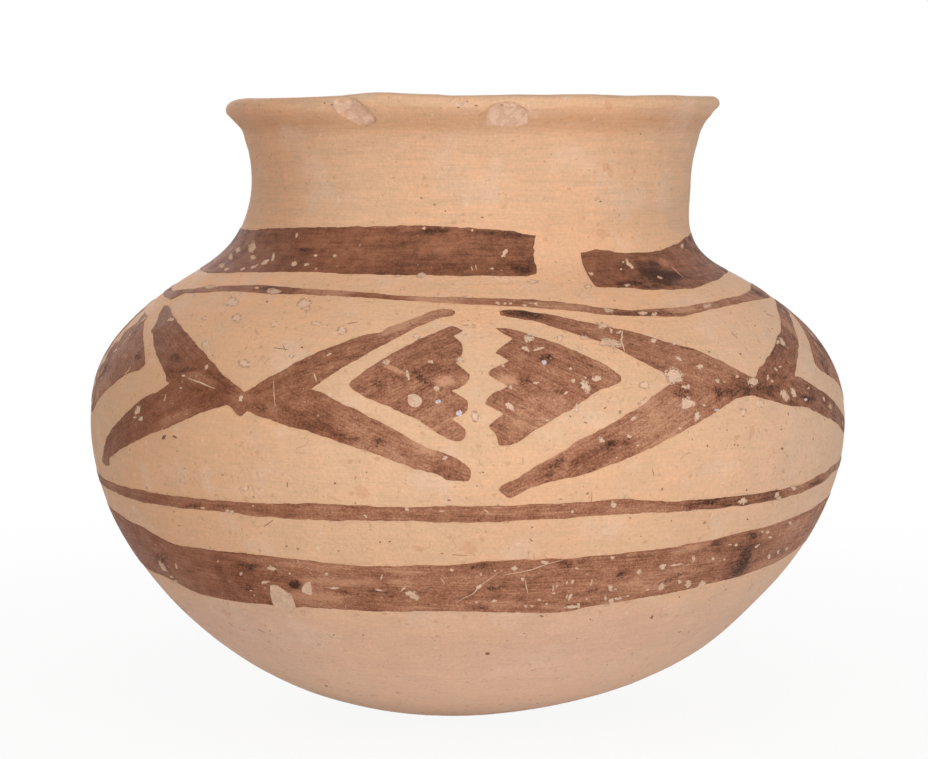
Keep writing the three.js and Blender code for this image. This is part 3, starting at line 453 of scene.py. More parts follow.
# Larger places where the slip has flaked off, as outlines
FLAKED_PATCHES = [
    [(-31.6, -32), (-30.4, -31.6), (-29.6, -32.5), (-28.9, -33.5), (-28.2, -34.1),
     (-28.2, -36), (-28.4, -38.6), (-30.4, -39), (-32.5, -38.8), (-32.6, -36.4),
     (-32.2, -34.4), (-31.9, -33)],
    [(-24.9, -30.1), (-24.1, -29.9), (-24.1, -31.6), (-24.4, -33.6), (-25.2, -33.7),
     (-26, -33.2), (-26, -32.2), (-25.5, -31.1)],
    [(-7.8, 15.7), (-6.8, 15.9), (-6, 14.7), (-6.2, 13.2), (-7.2, 12.9), (-7.8, 13.9)],
]

# Long soft places where the slip was laid on thick, and where it was laid on thin
THICK = [
    (-38, 15, 14, 10, 0), (46, 53, 13, 9, 0, 1.3), (11, 38, 14, 4, -14), (44, 14, 18, 9, 0),
    (47, -27, 16, 14, -30), (17, 2, 16, 6, 38), (-21, 8, 20, 6, -20), (-3, -1.4, 7, 5, -20),
    (130, -27, 60, 12, 0), (141, 22, 26, 20, 20), (232, 6, 24, 12, -30), (92, 18, 14, 12, 0),
    (186, 26, 14, 14, 0), (-39, 46.5, 7, 2.4, 0), (30, 37.6, 12, 1.4, -5),
    (57, -25, 14, 14, -30, 0.6), (72, 41, 9, 4, 0),
]
THIN = [
    (-13, 4, 22, 6, -32), (14, 8, 26, 8, 32), (28, 8, 20, 9, 34), (-4, 8, 14, 8, 0, 0.5),
    (-8, 36, 20, 4, 24), (-6, 3.8, 6, 2.4, -28), (-24, -34.5, 14, 6, 0, 1.4),
    (-17, -27, 24, 8, 3, 0.6), (10, 12, 14, 8, 26), (22, 20, 12, 12, 0), (30, -30, 24, 6, 8),
    (60, -22, 20, 6, 10), (85, -24, 40, 9, 0), (-58, 45.2, 15, 2, 0, 1.4),
    (-26, 46.6, 15, 3.4, -5, 1.9), (-4, 44, 12, 3.4, -5, 1.7), (17, 41.2, 15, 3, -8, 1.6),
    (40.5, 38.4, 12, 2.6, 3, 1.7), (50, 41, 10, 3, 15, 1.2), (-34, -24.6, 14, 2, 0),
    (2, -35.5, 20, 3, 0), (160, 6, 30, 9, -28), (250, 28, 26, 9, 30), (275, 14, 14, 12, 0),
    (240, -30, 70, 10, 0), (170, 60, 40, 8, 0),
]

# Scars where chips have left the lip, as outlines
LIP_SCARS = [
    [(-33, 98), (-31.5, 99.3), (-29, 99.6), (-27, 99), (-25.5, 97.7), (-24.2, 96.4),
     (-23.4, 94.6), (-23.1, 92.6), (-23.8, 91.4), (-25, 91.1), (-27, 91.6), (-28.8, 93),
     (-30, 94.5), (-31.6, 96.3)],
    [(2.8, 92.4), (3, 94), (3.5, 96.2), (4.6, 97.9), (6.2, 98.4), (8.2, 98), (10, 97.2),
     (11.5, 95.8), (12, 93.8), (11.8, 92.3), (9.5, 91.8), (6, 91.8), (4, 91.9)],
    [(127.4, 97.8), (130, 99), (133.4, 98.2), (135, 96.4), (133.8, 94), (131.4, 93.2),
     (128.6, 94.4), (127, 96)],
]

# Worn places on the lip: angle, millimetres up, length, width and tilt
LIP_WEAR = [
    (-5, 98.6, 2.2, 1.2, 10), (-3.3, 97.9, 1.8, 1.1, -15), (-1.9, 98.2, 1.6, 0.9, 5),
    (-0.9, 97.3, 1.2, 0.7, 0), (20, 99.2, 2.4, 0.8, 5), (-41, 99, 3, 0.9, -5),
    (78, 98.8, 2.6, 1, 10), (205, 99.1, 3.4, 1.1, -8),
]

# Wear where the photograph doesn't show the jar: its seed, the angles between which it lies on
# the slip and on the clay, the heights that it keeps to, and how many spots fall on the slip, on
# the clay, and low on the belly all round
WEAR_SEED, UNSEEN_SLIP, UNSEEN_CLAY = 7, (64, 291), (58, 295)
WEAR_LOW, WEAR_HIGH, BELLY_LOW = -112, 92, -45
SPOTS_ON_SLIP, SPOTS_ON_CLAY, SPOTS_BELOW = 330, 150, 50

# The lamps: name, place in metres, size, and share of the key's power
LAMPS = [
    ("key", (0.1, -0.74, 1.24), (1.2, 0.8), 1.0), ("low", (0.15, -0.8, 0.04), (1.1, 0.12), 0.68),
    ("back", (-0.4, 1.5, 0.7), (1.6, 1.2), 1.25),
]
LAMPS_AIM = (0, 0, 0.08)

# The camera's place in metres, its tilt below level in degrees, and its lens in millimetres
CAMERA_PLACE, CAMERA_TILT, CAMERA_LENS = (-0.00091, -0.66, 0.1436), 5.263, 101.29

# The floor: radius and drop below the base in metres, and its paleness
FLOOR_RADIUS, FLOOR_DROP, FLOOR_COLOUR = 6, 0.0003, (0.93, 0.93, 0.93, 1)
WHITE = (1, 1, 1, 1)


def shade(red, green, blue):
    """A colour written as on a paint chart, 0 to 255, as the linear numbers a shader takes."""
    parts = [value / 255 for value in (red, green, blue)]
    return tuple(v / 12.92 if v <= 0.04045 else ((v + 0.055) / 1.055) ** 2.4 for v in parts)


def metres(name, about, default, low, high):
    """A setting in metres."""
    return FloatProperty(
        name=name, description=about, unit="LENGTH", default=default, min=low, max=high)


def paint(name, about, *tone):
    """A setting for a colour, given as on a paint chart."""
    return FloatVectorProperty(
        name=name, description=about, subtype="COLOR", size=3, default=shade(*tone), min=0, max=1)


def gloss(about, default):
    """A setting for a roughness."""
    return FloatProperty(
        name="Roughness", description=about, subtype="FACTOR", default=default, min=0, max=1)


class ShapeSettings(bpy.types.PropertyGroup):
    belly_radius: metres(
        "Belly radius", "Radius of the belly's widest ring", (WALL_HIGH[0] - WALL_LOW[0]) / 2,
        0.05, 0.2)
    belly_height: metres(
        "Belly height", "Height of the belly's widest ring", 0.0725, 0.03, 0.15)
    base_radius: metres(
        "Base radius", "Radius of the flat that the jar stands on", 0.0165, 0.005, 0.05)
    neck_radius: metres(
        "Neck radius", "Radius of the narrowest ring of the neck", 0.0554, 0.02, 0.09)
    wall: metres("Wall", "Thickness of the wall below the neck", 0.0055, 0.002, 0.012)
    unevenness: metres(
        "Unevenness", "Largest slow wave left in the wall by the hands", 0.0003, 0, 0.001)


class ClaySettings(bpy.types.PropertyGroup):
    cream: paint("Cream", "Clay of the neck and the belly", 228, 184, 148)
    # Orange also serves as painted shade, the warmer hue of the jar's left side and the left of
    # the neck.
    orange: paint("Orange", "Clay of the shoulder and the better fired places", 229, 178, 138)
    # Dusk, the greyer clay low on the belly, is also lightened a little as painted light bounced
    # up from the floor.
    dusk: paint("Dusk", "Greyer clay low on the belly", 224, 184, 158)
    roughness: gloss("Roughness of the rubbed clay", 0.56)


class SlipSettings(bpy.types.PropertyGroup):
    thickness: metres(
        "Thickness", "How far the slip stands off the wall", 0.00012, 0.00005, 0.0005)
    brown: paint("Brown", "Slip laid on at full strength", 164, 109, 82)
    dark: paint("Dark", "Slip where two strokes overlap", 88, 55, 41)
    thin: paint("Thin", "Slip rubbed thin over the clay", 204, 152, 120)
    roughness: gloss("Roughness of the slip", 0.52)


class StageSettings(bpy.types.PropertyGroup):
    key: FloatProperty(
        name="Key light", description="Power of the large soft light at the front", default=5.95,
        min=0, max=50, unit="POWER")
    fill: FloatProperty(
        name="Fill", description="Strength of the even light from all round", default=0.275,
        min=0, max=3)


class JarSettings(bpy.types.PropertyGroup):
    shape: PointerProperty(type=ShapeSettings, name="Shape", description="Sizes of the wall")
    clay: PointerProperty(type=ClaySettings, name="Clay", description="Finish of the clay")
    slip: PointerProperty(type=SlipSettings, name="Slip", description="Finish of the slip")
    stage: PointerProperty(type=StageSettings, name="Stage", description="Light round the jar")


def rise(value, low, high):
    """0 below low, 1 above high, and smooth between."""
    part = min(max((value - low) / (high - low), 0), 1)
    return part * part * (3 - 2 * part)


def read_table(table, value):
    """A value read off a table of stations, smooth between them. The stations go all round."""
    first = table[0][0]
    value = first + (value - first) % 360
    for before, after in zip(table, table[1:]):
        if value <= after[0]:
            break
    else:
        before, after = table[-1], (first + 360, *table[0][1:])
    part = rise(value, before[0], after[0]) * 0.5 + 0.5 * min(
        max((value - before[0]) / (after[0] - before[0]), 0), 1)
    read = [a + (b - a) * part for a, b in zip(before[1:], after[1:])]
    return read[0] if len(read) == 1 else read


def grain(x, y, z, size):
    """Smooth noise between -1 and 1, with waves about `size` long."""
    return noise.noise(Vector((x, y, z)) / size) * 1.4


def apart(angle, other):
    """How many degrees one angle is past another, from -180 to 180."""
    return (angle - other + 180) % 360 - 180


def heading(slope, length):
    """A step of a length in the section, at a slope above level."""
    return Vector((math.cos(math.radians(slope)), math.sin(math.radians(slope)))) * length


class Wall:
    """The wall of the jar: where a place drawn on the flat lies on the real thing."""

    STEP = 0.2  # millimetres between the stations that are kept of the section

    def __init__(self, shape):
        base = Vector((shape.base_radius / MM, 0))
        belly = Vector((shape.belly_radius / MM, shape.belly_height / MM))
        shoulder = Vector((shape.neck_radius / MM + SHOULDER_OUTSET, belly.y + SHOULDER_RISE))
        neck = Vector((shape.neck_radius / MM, shoulder.y + NECK_RISE))
        lip = Vector((neck.x + LIP_OUTSET, neck.y + LIP_RISE))
        self.wave = shape.unevenness / MM
        self.thickness = shape.wall / MM
        self.top = lip.y

        # Each curve's start, the handle by which it leaves, its end, and the handle there
        curves = [
            (base, heading(BASE_SLOPE, BASE_FULLNESS), belly, heading(-90, LOWER_BELLY_FULLNESS)),
            (belly, heading(90, UPPER_BELLY_FULLNESS),
             shoulder, heading(-SHOULDER_SLOPE, SHOULDER_FULLNESS)),
            (shoulder, heading(180 - SHOULDER_SLOPE, NECK_FOOT_FULLNESS),
             neck, heading(-90, NECK_FULLNESS)),
            (neck, heading(90, FLARE_FULLNESS), lip, heading(180 + LIP_SLOPE, LIP_FULLNESS)),
        ]
        outside = []
        for start, leave, end, arrive in curves:
            outside += geometry.interpolate_bezier(
                start, start + leave, end + arrive, end, CURVE_POINTS)[:-1]
        outside.append(lip)
        widest = CURVE_POINTS - 1

        middle = lip + heading(LIP_SLOPE + 90, LIP_ROUNDING)
        rounding = [
            middle + heading(LIP_SLOPE - 90 + turn, LIP_ROUNDING)
            for turn in range(LIP_TURN, 180, LIP_TURN)]
        inside = []
        for number in range(len(outside) - 2, 1, -3):
            before, point, after = outside[number - 1:number + 2]
            along = (after - before).normalized()
            deep = 2 * LIP_ROUNDING + (self.thickness - 2 * LIP_ROUNDING) * rise(
                len(outside) - number, THICKENS_FROM, THICKENS_TO)
            inside.append(point - Vector((along.y, -along.x)) * deep)
        inside = [point for point in inside if point.y > FLOOR + 0.4]
        floor = [Vector((inside[-1].x - 5, FLOOR)), Vector((0, FLOOR))]
        path = [Vector((0, 0)), *outside, *rounding, *inside, *floor]

        lengths = [0.0]
        for before, after in zip(path, path[1:]):
            lengths.append(lengths[-1] + (after - before).length)
        start = lengths[widest + 1]
        self.first = -start
        self.base = lengths[1] - start
        self.lip = lengths[len(outside)] - start
        self.inside = lengths[len(outside) + len(rounding) + 1] - start
        self.last = lengths[-1] - start
        self.rows = []
        number = 0
        for station in range(int(lengths[-1] / self.STEP) + 1):
            run = station * self.STEP
            while lengths[number + 1] < run:
                number += 1
            part = (run - lengths[number]) / (lengths[number + 1] - lengths[number])
            self.rows.append(path[number].lerp(path[number + 1], part))

    def section(self, up):
        """Radius, height and outward direction of the section at a place up the wall."""
        run = min(max((up - self.first) / self.STEP, 0), len(self.rows) - 1.001)
        number = int(run)
        point = self.rows[number].lerp(self.rows[number + 1], run - number)
        low = self.rows[max(number - 4, 0)]
        high = self.rows[min(number + 5, len(self.rows) - 1)]
        along = (high - low).normalized()
        return point, Vector((along.y, -along.x))

    def radius(self, up):
        """Radius of the section, kept off zero so that a millimetre is always some degrees."""
        return max(self.section(up)[0].x, 1)

    def drift(self, height):
        """Sideways lean of the jar's middle at a height."""
        lean = BASE_LEAN * math.exp(-height / BASE_FADE)
        return lean + sum(size * rise(height, low, high) for size, low, high in LEANS)

    def chip_depth(self, angle, up):
        """How much of the lip has broken away."""
        depth = 0
        for at, below, dip, width, height, deep in LIP_CHIPS:
            turn = apart(angle, at)
            if abs(turn) > 10 or abs(up - self.lip) > LIP_NEAR:
                continue
            right = math.radians(turn) * (self.radius(self.lip) - 1)
            above = up - self.lip + below
            tilt = math.radians(dip)
            along = right * math.cos(tilt) - above * math.sin(tilt)
            across = right * math.sin(tilt) + above * math.cos(tilt)
            edge = 1 - (2 * along / width) ** 2 - (2 * across / height) ** 2
            edge += 0.16 * grain(right, above, at, 1.6)
            if edge > 0:
                flat = rise(edge, 0, 0.22) * 0.45 + 0.4 * math.sqrt(min(edge, 1))
                depth = max(depth, deep * flat * (1 + 0.16 * grain(right, above, at, 0.9)))
        return depth

    def hand_marks(self, turn, up, point):
        """Slow waves, low places and the crease in the wall, and the finger dents inside."""
        x, y, z = point.x * math.sin(turn), point.x * math.cos(turn), point.y
        calm = rise(up, self.base - 2, self.base + 22) * (1 - 0.6 * rise(up, 84, 92))
        bulge = 0
        for at, middle, reach, size in BULGES:
            aside = apart(math.degrees(turn), at) / BULGE_TURN
            bulge += size * math.exp(-aside ** 2 - ((z - middle) / reach) ** 2)
        bulge *= rise(up, self.base, self.base + 22)
        near = math.exp(-((up - CREASE) / CREASE_WIDTH) ** 2)
        bulge -= CREASE_DEPTH * rise(-math.cos(turn + 0.9), -0.2, 0.5) * near
        wave = self.wave * (0.75 * grain(x, y, z, 46) + 0.25 * grain(y, z, x, 19))
        wave += 0.05 * grain(z, x, y, 9)
        if up > self.inside:
            dents = 0.34 * grain(11 * math.sin(turn), 11 * math.cos(turn), z * 0.16, 1)
            dents += 0.22 * math.sin(z * 0.72 + 0.8 * math.sin(turn * 2))
            dents *= rise(up, self.inside + 12, self.inside + 30)
            wave += dents * (1 - rise(up, self.last - 40, self.last - 8))
            calm = 1 - rise(up, self.last - 30, self.last)
            bulge *= 0.5 * calm
        return wave * calm + bulge

    def place(self, angle, up, lift=0.0):
        """The real place, in millimetres, of a point drawn on the flat wall."""
        point, out = self.section(up)
        turn = math.radians(angle)
        lift += self.hand_marks(turn, up, point)
        if abs(up - self.lip) < LIP_NEAR:
            lift -= self.chip_depth(angle, up)
        radius = point.x + out.x * lift
        height = point.y + out.y * lift
        height += read_table(RIM, angle) * rise(height, self.top - 13, self.top - 2)
        x = self.drift(point.y) + radius * math.sin(turn)
        return Vector((x, -radius * math.cos(turn), height))


def draw_strip(bm, columns, rows, shape):
    """Adds a sheet of squares and puts each corner where shape(across, up) says, both 0 to 1."""
    drawn = bmesh.ops.create_grid(bm, x_segments=columns, y_segments=rows, size=0.5)
    for vert in drawn["verts"]:
        vert.co = shape(vert.co.x + 0.5, vert.co.y + 0.5)


def draw_outline(bm, corners, step, lift):
    """Fills an outline, and cuts it along lines `step` millimetres apart so that it can bend."""
    verts = [bm.verts.new((angle, up, lift)) for angle, up in corners]
    edges = [bm.edges.new(pair) for pair in zip(verts, verts[1:] + verts[:1])]
    bmesh.ops.triangle_fill(bm, use_beauty=True, use_dissolve=False, edges=edges)
    for axis, size in ((0, step / CUT_DEGREE), (1, step)):
        low = min(vert.co[axis] for vert in bm.verts)
        high = max(vert.co[axis] for vert in bm.verts)
        normal = Vector((axis == 0, axis == 1, 0))
        for number in range(math.floor(low / size) + 1, math.ceil(high / size)):
            bmesh.ops.bisect_plane(
                bm, geom=[*bm.verts, *bm.edges, *bm.faces], dist=0.002,
                plane_co=normal * number * size, plane_no=normal)


def flat_layer(bm):
    """The drawing's own coordinates, under the name that the finishes look for."""
    return bm.loops.layers.uv.get(DRAWN) or bm.loops.layers.uv.new(DRAWN)


def draw_spot(bm, wall, spot, lift, wobble=0.34, sides=16):
    """Adds an irregular patch: angle, mm up, length, width and tilt in degrees."""
    angle, up, length, width, tilt = spot
    uv = flat_layer(bm)
    drawn = bmesh.ops.create_circle(bm, cap_ends=True, radius=1, segments=sides)
    cap = drawn["verts"][0].link_faces[0]
    faces = [cap]
    for ring in (0.34, 0.3):
        grown = bmesh.ops.inset_individual(
            bm, faces=[cap], thickness=ring, use_even_offset=True)
        faces += grown["faces"]
    around = math.radians(wall.radius(up))
    turn = math.radians(tilt)
    for face in faces:
        for loop in face.loops:
            loop[uv].uv = loop.vert.co.xy
    for vert in {vert for face in faces for vert in face.verts}:
        x, y, _ = vert.co
        size = 1 + wobble * grain(x * 0.9 + angle, y * 0.9 + up, tilt, 0.8)
        size += 0.5 * wobble * grain(x * 2.2 + up, y * 2.2, angle, 0.7)
        x, y = x * size * length / 2, y * size * width / 2
        right = x * math.cos(turn) - y * math.sin(turn)
        above = x * math.sin(turn) + y * math.cos(turn)
        vert.co = Vector((angle + right / around, up + above, lift))


def draw_line(bm, wall, width, stations, lift):
    """Adds a thin tapering line through stations of angle and millimetres up."""
    steps = max(len(stations) * 3, 4)
    stations = [Vector(place) for place in stations]

    def shape(across, side):
        run = across * (len(stations) - 1)
        number = min(int(run), len(stations) - 2)
        start, end = stations[number], stations[number + 1]
        point = start.lerp(end, run - number)
        around = math.radians(wall.radius(point.y))
        along = Vector(((end.x - start.x) * around, end.y - start.y)).normalized()
        wide = width * (0.35 + 0.65 * math.sin(math.pi * across)) * (side - 0.5)
        wide += 0.3 * width * grain(point.x * 3, point.y * 3, width, 1.5)
        return Vector((point.x - along.y * wide / around, point.y + along.x * wide, lift))

    draw_strip(bm, steps, 1, shape)


def close_ring(bm, start):
    """Takes away the end faces of a strip that meets itself after a full turn."""
    ends = [face for face in bm.faces if all(
        min(abs(v.co.x - start), abs(v.co.x - start - 360)) < 1e-4 for v in face.verts)]
    bmesh.ops.delete(bm, geom=ends, context="FACES_ONLY")
    loose = [edge for edge in bm.edges if not edge.link_faces]
    bmesh.ops.delete(bm, geom=loose, context="EDGES")


def thicken(bm, depth):
    """Turns flat patches into closed layers, from their face down by a depth."""
    grown = bmesh.ops.extrude_face_region(bm, geom=bm.faces[:], use_keep_orig=True)
    lower = [item for item in grown["geom"] if isinstance(item, bmesh.types.BMVert)]
    bmesh.ops.translate(bm, vec=(0, 0, -depth), verts=lower)


def wrap(bm, wall):
    """Puts everything drawn on the flat onto the wall, then closes seams and turns faces out."""
    for vert in bm.verts:
        vert.co = wall.place(*vert.co)
    bmesh.ops.remove_doubles(bm, verts=bm.verts[:], dist=MARK_MERGE)
    bmesh.ops.recalc_face_normals(bm, faces=bm.faces[:])
    for edge in bm.edges:
        edge.smooth = edge.calc_face_angle(0) < math.radians(SMOOTH_UNDER)


def make_object(bm, name, material):
    """Turns a finished mesh into an object of one material."""
    mesh = bpy.data.meshes.new(name)
    bm.to_mesh(mesh)
    bm.free()
    mesh.materials.append(material)
    made = bpy.data.objects.new(name, mesh)
    bpy.context.collection.objects.link(made)
    return made


def keep_piece(bm, name, material, slot, *nodes):
    """Keeps a finished mesh as a piece of the jar, in metres."""
    bmesh.ops.scale(bm, vec=(MM, MM, MM), verts=bm.verts[:])
    for face in bm.faces:
        face.smooth = True
    piece = make_object(bm, name, material)
    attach(piece, "root")
    if nodes:
        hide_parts(*nodes)


class Wire:
    """A socket that can be used in sums: each sum adds its Math node."""

    def __init__(self, board, socket):
        self.board = board
        self.socket = socket

    def __add__(self, other):
        return self.board.maths("ADD", self, other)

    def __sub__(self, other):
        return self.board.maths("SUBTRACT", self, other)

    def __rsub__(self, other):
        return self.board.maths("SUBTRACT", other, self)

    def __mul__(self, other):
        return self.board.maths("MULTIPLY", self, other)

    __radd__ = __add__
    __rmul__ = __mul__


class Board:
    """The nodes of one finish."""

    def __init__(self, name, kind=bpy.data.materials):
        self.owner = kind.new(name)
        self.owner.use_nodes = True
        self.tree = self.owner.node_tree
        self.tree.nodes.clear()

    def add(self, kind, settings=None, values=None, output=0):
        """Adds a node: its settings first, then the values or links of its sockets."""
        node = self.tree.nodes.new(kind)
        for name, setting in (settings or {}).items():
            if name == "stops":
                ramp = node.color_ramp
                while len(ramp.elements) < len(setting):
                    ramp.elements.new(0.5)
                for element, (position, colour) in zip(ramp.elements, setting):
                    element.position = position
                    element.color = (*colour, 1)
            else:
                setattr(node, name, setting)
        for name, value in (values or {}).items():
            if isinstance(value, Wire):
                self.tree.links.new(value.socket, node.inputs[name])
            else:
                node.inputs[name].default_value = value
        return Wire(self, node.outputs[output]) if node.outputs else node

    def maths(self, operation, first, second):
        return self.add("ShaderNodeMath", {"operation": operation}, {0: first, 1: second})

    def backdrop(self):
        """1 for the rays that should see a white background, 0 for those that light the jar."""
        camera = self.add("ShaderNodeLightPath", output="Is Camera Ray")
        others = camera.socket.node.outputs
        seen = camera + Wire(self, others["Is Glossy Ray"]) + Wire(
            self, others["Is Transmission Ray"])
        return self.maths("MINIMUM", seen, 1)

    def place(self):
        """Object coordinates, in millimetres."""
        spot = self.add("ShaderNodeTexCoord", output="Object")
        return self.add("ShaderNodeVectorMath", {"operation": "SCALE"}, {0: spot, "Scale": 1 / MM})

    def stretch(self, vector, *factors):
        return self.add(
            "ShaderNodeVectorMath", {"operation": "MULTIPLY"}, {0: vector, 1: factors})

    def noise(self, vector, size, detail=2.0, roughness=0.5):
        """Noise from 0 to 1 with waves about `size` millimetres long."""
        plain = self.add(
            "ShaderNodeTexNoise", {},
            {"Vector": vector, "Scale": 1 / size, "Detail": detail, "Roughness": roughness})
        return self.rise(plain, 0.28, 0.72)

    def cells(self, vector, size, output="Distance"):
        return self.add(
            "ShaderNodeTexVoronoi", {"feature": "F1"}, {"Vector": vector, "Scale": 1 / size},
            output)

    def rise(self, value, low, high):
        """0 below low, 1 above high, and smooth between."""
        return self.add(
            "ShaderNodeMapRange", {"interpolation_type": "SMOOTHSTEP"},
            {"Value": value, "From Min": low, "From Max": high})

    def mix(self, factor, first, second):
        first, second = (
            value if isinstance(value, Wire) else (*value[:3], 1) for value in (first, second))
        return self.add(
            "ShaderNodeMix", {"data_type": "RGBA"}, {0: factor, 6: first, 7: second}, output=2)

    def tint(self, colour, *layers):
        """Mixes paint chart colours over a colour, one after the other, each by its mask."""
        for mask, *tone in layers:
            colour = self.mix(mask, colour, shade(*tone))
        return colour

    def part(self, vector, axis):
        return self.add("ShaderNodeSeparateXYZ", {}, {0: vector}, axis)

    def uv(self):
        return self.add("ShaderNodeUVMap", {"uv_map": DRAWN})

    def reach(self, vector):
        """How long a vector is."""
        return self.add("ShaderNodeVectorMath", {"operation": "LENGTH"}, {0: vector}, "Value")

    def bright(self, colour, amount):
        """A colour made lighter or darker by a factor."""
        return self.add(
            "ShaderNodeVectorMath", {"operation": "SCALE"}, {0: colour, "Scale": amount})

    def hairlines(self, vector, size, share):
        """A mask of broken hairlines, along the edges of cells of a size."""
        edge = self.add(
            "ShaderNodeTexVoronoi", {"feature": "DISTANCE_TO_EDGE"},
            {"Vector": vector, "Scale": 1 / size})
        return (1 - self.rise(edge, 0.01, 0.05)) * self.rise(
            self.noise(vector, size * 1.3), 1 - share, 1.15 - share)

    def specks(self, vector, size, share, radius):
        """A mask of round specks: cells of a size, the share that holds one, and its radius."""
        chosen = self.add(
            "ShaderNodeSeparateColor", {}, {"Color": self.cells(vector, size, "Color")}, "Red")
        distance = self.cells(vector, size) + (self.noise(vector, size * 0.4) - 0.5) * 0.2
        return self.rise(chosen, 1 - share, 1.001 - share) * (
            1 - self.rise(distance, radius * 0.7, radius))

    def finish(self, colour, roughness, height, strength, depth, alpha=1.0):
        """Ends the board in its shader, with a bump from the height."""
        bump = self.add(
            "ShaderNodeBump", {}, {"Height": height, "Strength": strength, "Distance": depth})
        shader = self.add(
            "ShaderNodeBsdfPrincipled", {},
            {"Base Color": colour, "Roughness": roughness, "Normal": bump, "Alpha": alpha,
             "Specular IOR Level": 0.07})
        self.add("ShaderNodeOutputMaterial", {}, {"Surface": shader})
        return self.owner


def clay_colours(board, clay):
    """Colour, roughness and height of the rubbed clay, with its painted light and shade."""
    spot = board.place()
    height, side = board.part(spot, "Z"), board.part(spot, "X")
    clouds = board.noise(spot, 38, 2)
    blotches = board.noise(spot, 9, 3, 0.6)
    wiped = board.noise(board.stretch(spot, 0.06, 0.06, 0.7), 1, 3, 0.6)
    lines = board.noise(board.stretch(spot, 0.14, 0.14, 2.4), 1, 2, 0.6)
    grit = board.noise(spot, 0.8, 3, 0.75)

    neck = board.rise(height, 116, 124)
    # Warmer clay: the shoulder band and the random clouds are the clay's own tone, while the
    # orange on the neck's left and down the whole left side is painted shade, the warmer hue of
    # the side that gets less light.
    warm_tone_and_left_shade = board.rise(height, 92, 106) * (1 - board.rise(height, 114, 130)) * 0.3
    warm_tone_and_left_shade = warm_tone_and_left_shade + neck * (1 - board.rise(side, -56, -20)) * 0.5
    warm_tone_and_left_shade = warm_tone_and_left_shade + (1 - board.rise(side, -80, -30)) * 0.5
    warm_tone_and_left_shade = warm_tone_and_left_shade + (clouds - 0.5) * 0.55 + (blotches - 0.5) * 0.3 + (wiped - 0.5) * 0.3 + 0.1
    # Low on the belly the clay turns greyer, and it is kept a little light there as painted light
    # bounced up from the floor.
    low = 1 - board.rise(height, 14, 60)
    colour = board.mix(board.rise(warm_tone_and_left_shade, -0.1, 0.9), clay.cream, clay.orange)
    colour = board.mix(board.rise(low + (clouds - 0.5) * 0.4, 0.05, 1), colour, clay.dusk)
    # Painted light: up to about 30 mm from the ground the clay is made paler, standing in for
    # light bounced up from the floor.
    base = 1 - board.rise(height, 6, 30)
    # Painted reflection: the right side is made paler and greyer, as if it caught the white
    # surroundings.
    colour = board.tint(
        colour, (base * 0.85, 246, 209, 180), (board.rise(side, 40, 88) * 0.45, 229, 194, 168))
    # Painted light: the shoulder, from about 88 mm up to the neck, is made a little lighter, as if
    # lit from above.
    colour = board.bright(colour, 1 + board.rise(height, 88, 104) * (1 - neck) * 0.09)
    # Painted shadow: the lowest couple of millimetres, where the jar meets the floor, are
    # darkened.
    painted_contact_shadow = 1 - board.rise(height, 0.4, 2.6)
    # Painted shade, with a little dirt: a darker orange band in the hollow under the lip.
    under = board.rise(height, 143.5, 147) * (1 - board.rise(height, 148, 150.5))
    chalky = board.rise(board.noise(spot, 12, 3, 0.6), 0.62, 1)
    colour = board.tint(
        colour, (painted_contact_shadow * 0.55, 104, 76, 60), (under * (0.25 + wiped * 0.3), 196, 140, 102),
        (chalky * 0.3, 232, 202, 180))
    value = 1 + (blotches - 0.5) * 0.07 + (wiped - 0.5) * (0.04 + neck * 0.05)
    value = value + (grit - 0.5) * 0.13 + (lines - 0.5) * (0.05 + neck * 0.03)
    colour = board.bright(colour, value)

    stains = board.specks(spot, 11, 0.16, 0.15)
    freckles = board.specks(spot, 3.1, 0.42, 0.17)
    flecks = board.specks(spot, 3.4, 0.3, 0.06)
    pits = board.specks(spot, 1.5, 0.3, 0.15)
    pale = board.specks(spot, 3.7, 0.3, 0.11)
    crazing = board.hairlines(board.stretch(spot, 1, 1, 1.4), 3, 0.2) * (1 - neck * 0.7)
    colour = board.tint(
        colour, (stains * 0.3, 204, 136, 102), (freckles * 0.36, 194, 138, 102),
        (pits * 0.4, 172, 122, 94), (pale * 0.5, 238, 208, 180), (crazing * 0.24, 150, 106, 84),
        (flecks * 0.6, 122, 86, 68))
    roughness = clay.roughness + (blotches - 0.5) * 0.16 + (grit - 0.5) * 0.16
    relief = grit * 0.6 + wiped * 0.6 + lines * 0.3 + blotches * 0.6 - pits * 0.9 - crazing
    return colour, roughness, relief


def make_clay(clay):
    """The rubbed clay of the wall."""
    board = Board("rubbed_clay")
    colour, roughness, relief = clay_colours(board, clay)
    return board.finish(colour, roughness, relief, 0.35, 0.0004)


def make_bare(clay):
    """Clay where the slip has flaked off, from faint to bright, a little dustier than the wall."""
    board = Board("bare_clay")
    colour, roughness, relief = clay_colours(board, clay)
    place = board.place()
    dust = board.noise(place, 1.3, 3, 0.7)
    crumbs = board.noise(place, 0.6, 3, 0.7)
    faint = board.noise(board.stretch(place, 1, 1, 1.7), 3.2, 1)
    ragged = board.reach(board.uv()) + (crumbs - 0.5) * 0.8
    # The ragged edge of each flaked spot is darkened: partly dirt, and partly painted shade where
    # the broken edge of the slip shades the clay.
    colour = board.tint(
        colour, (0.3 + dust * 0.5, 236, 206, 182), (faint * 0.24, 170, 126, 100),
        (board.rise(crumbs, 0.55, 1) * 0.35, 150, 118, 100),
        (board.rise(ragged, 0.6, 0.9) * 0.4, 150, 106, 82))
    whole = 1 - board.rise(ragged, 0.84, 0.96)
    return board.finish(colour, roughness + 0.12, relief + dust, 0.5, 0.0004, whole)


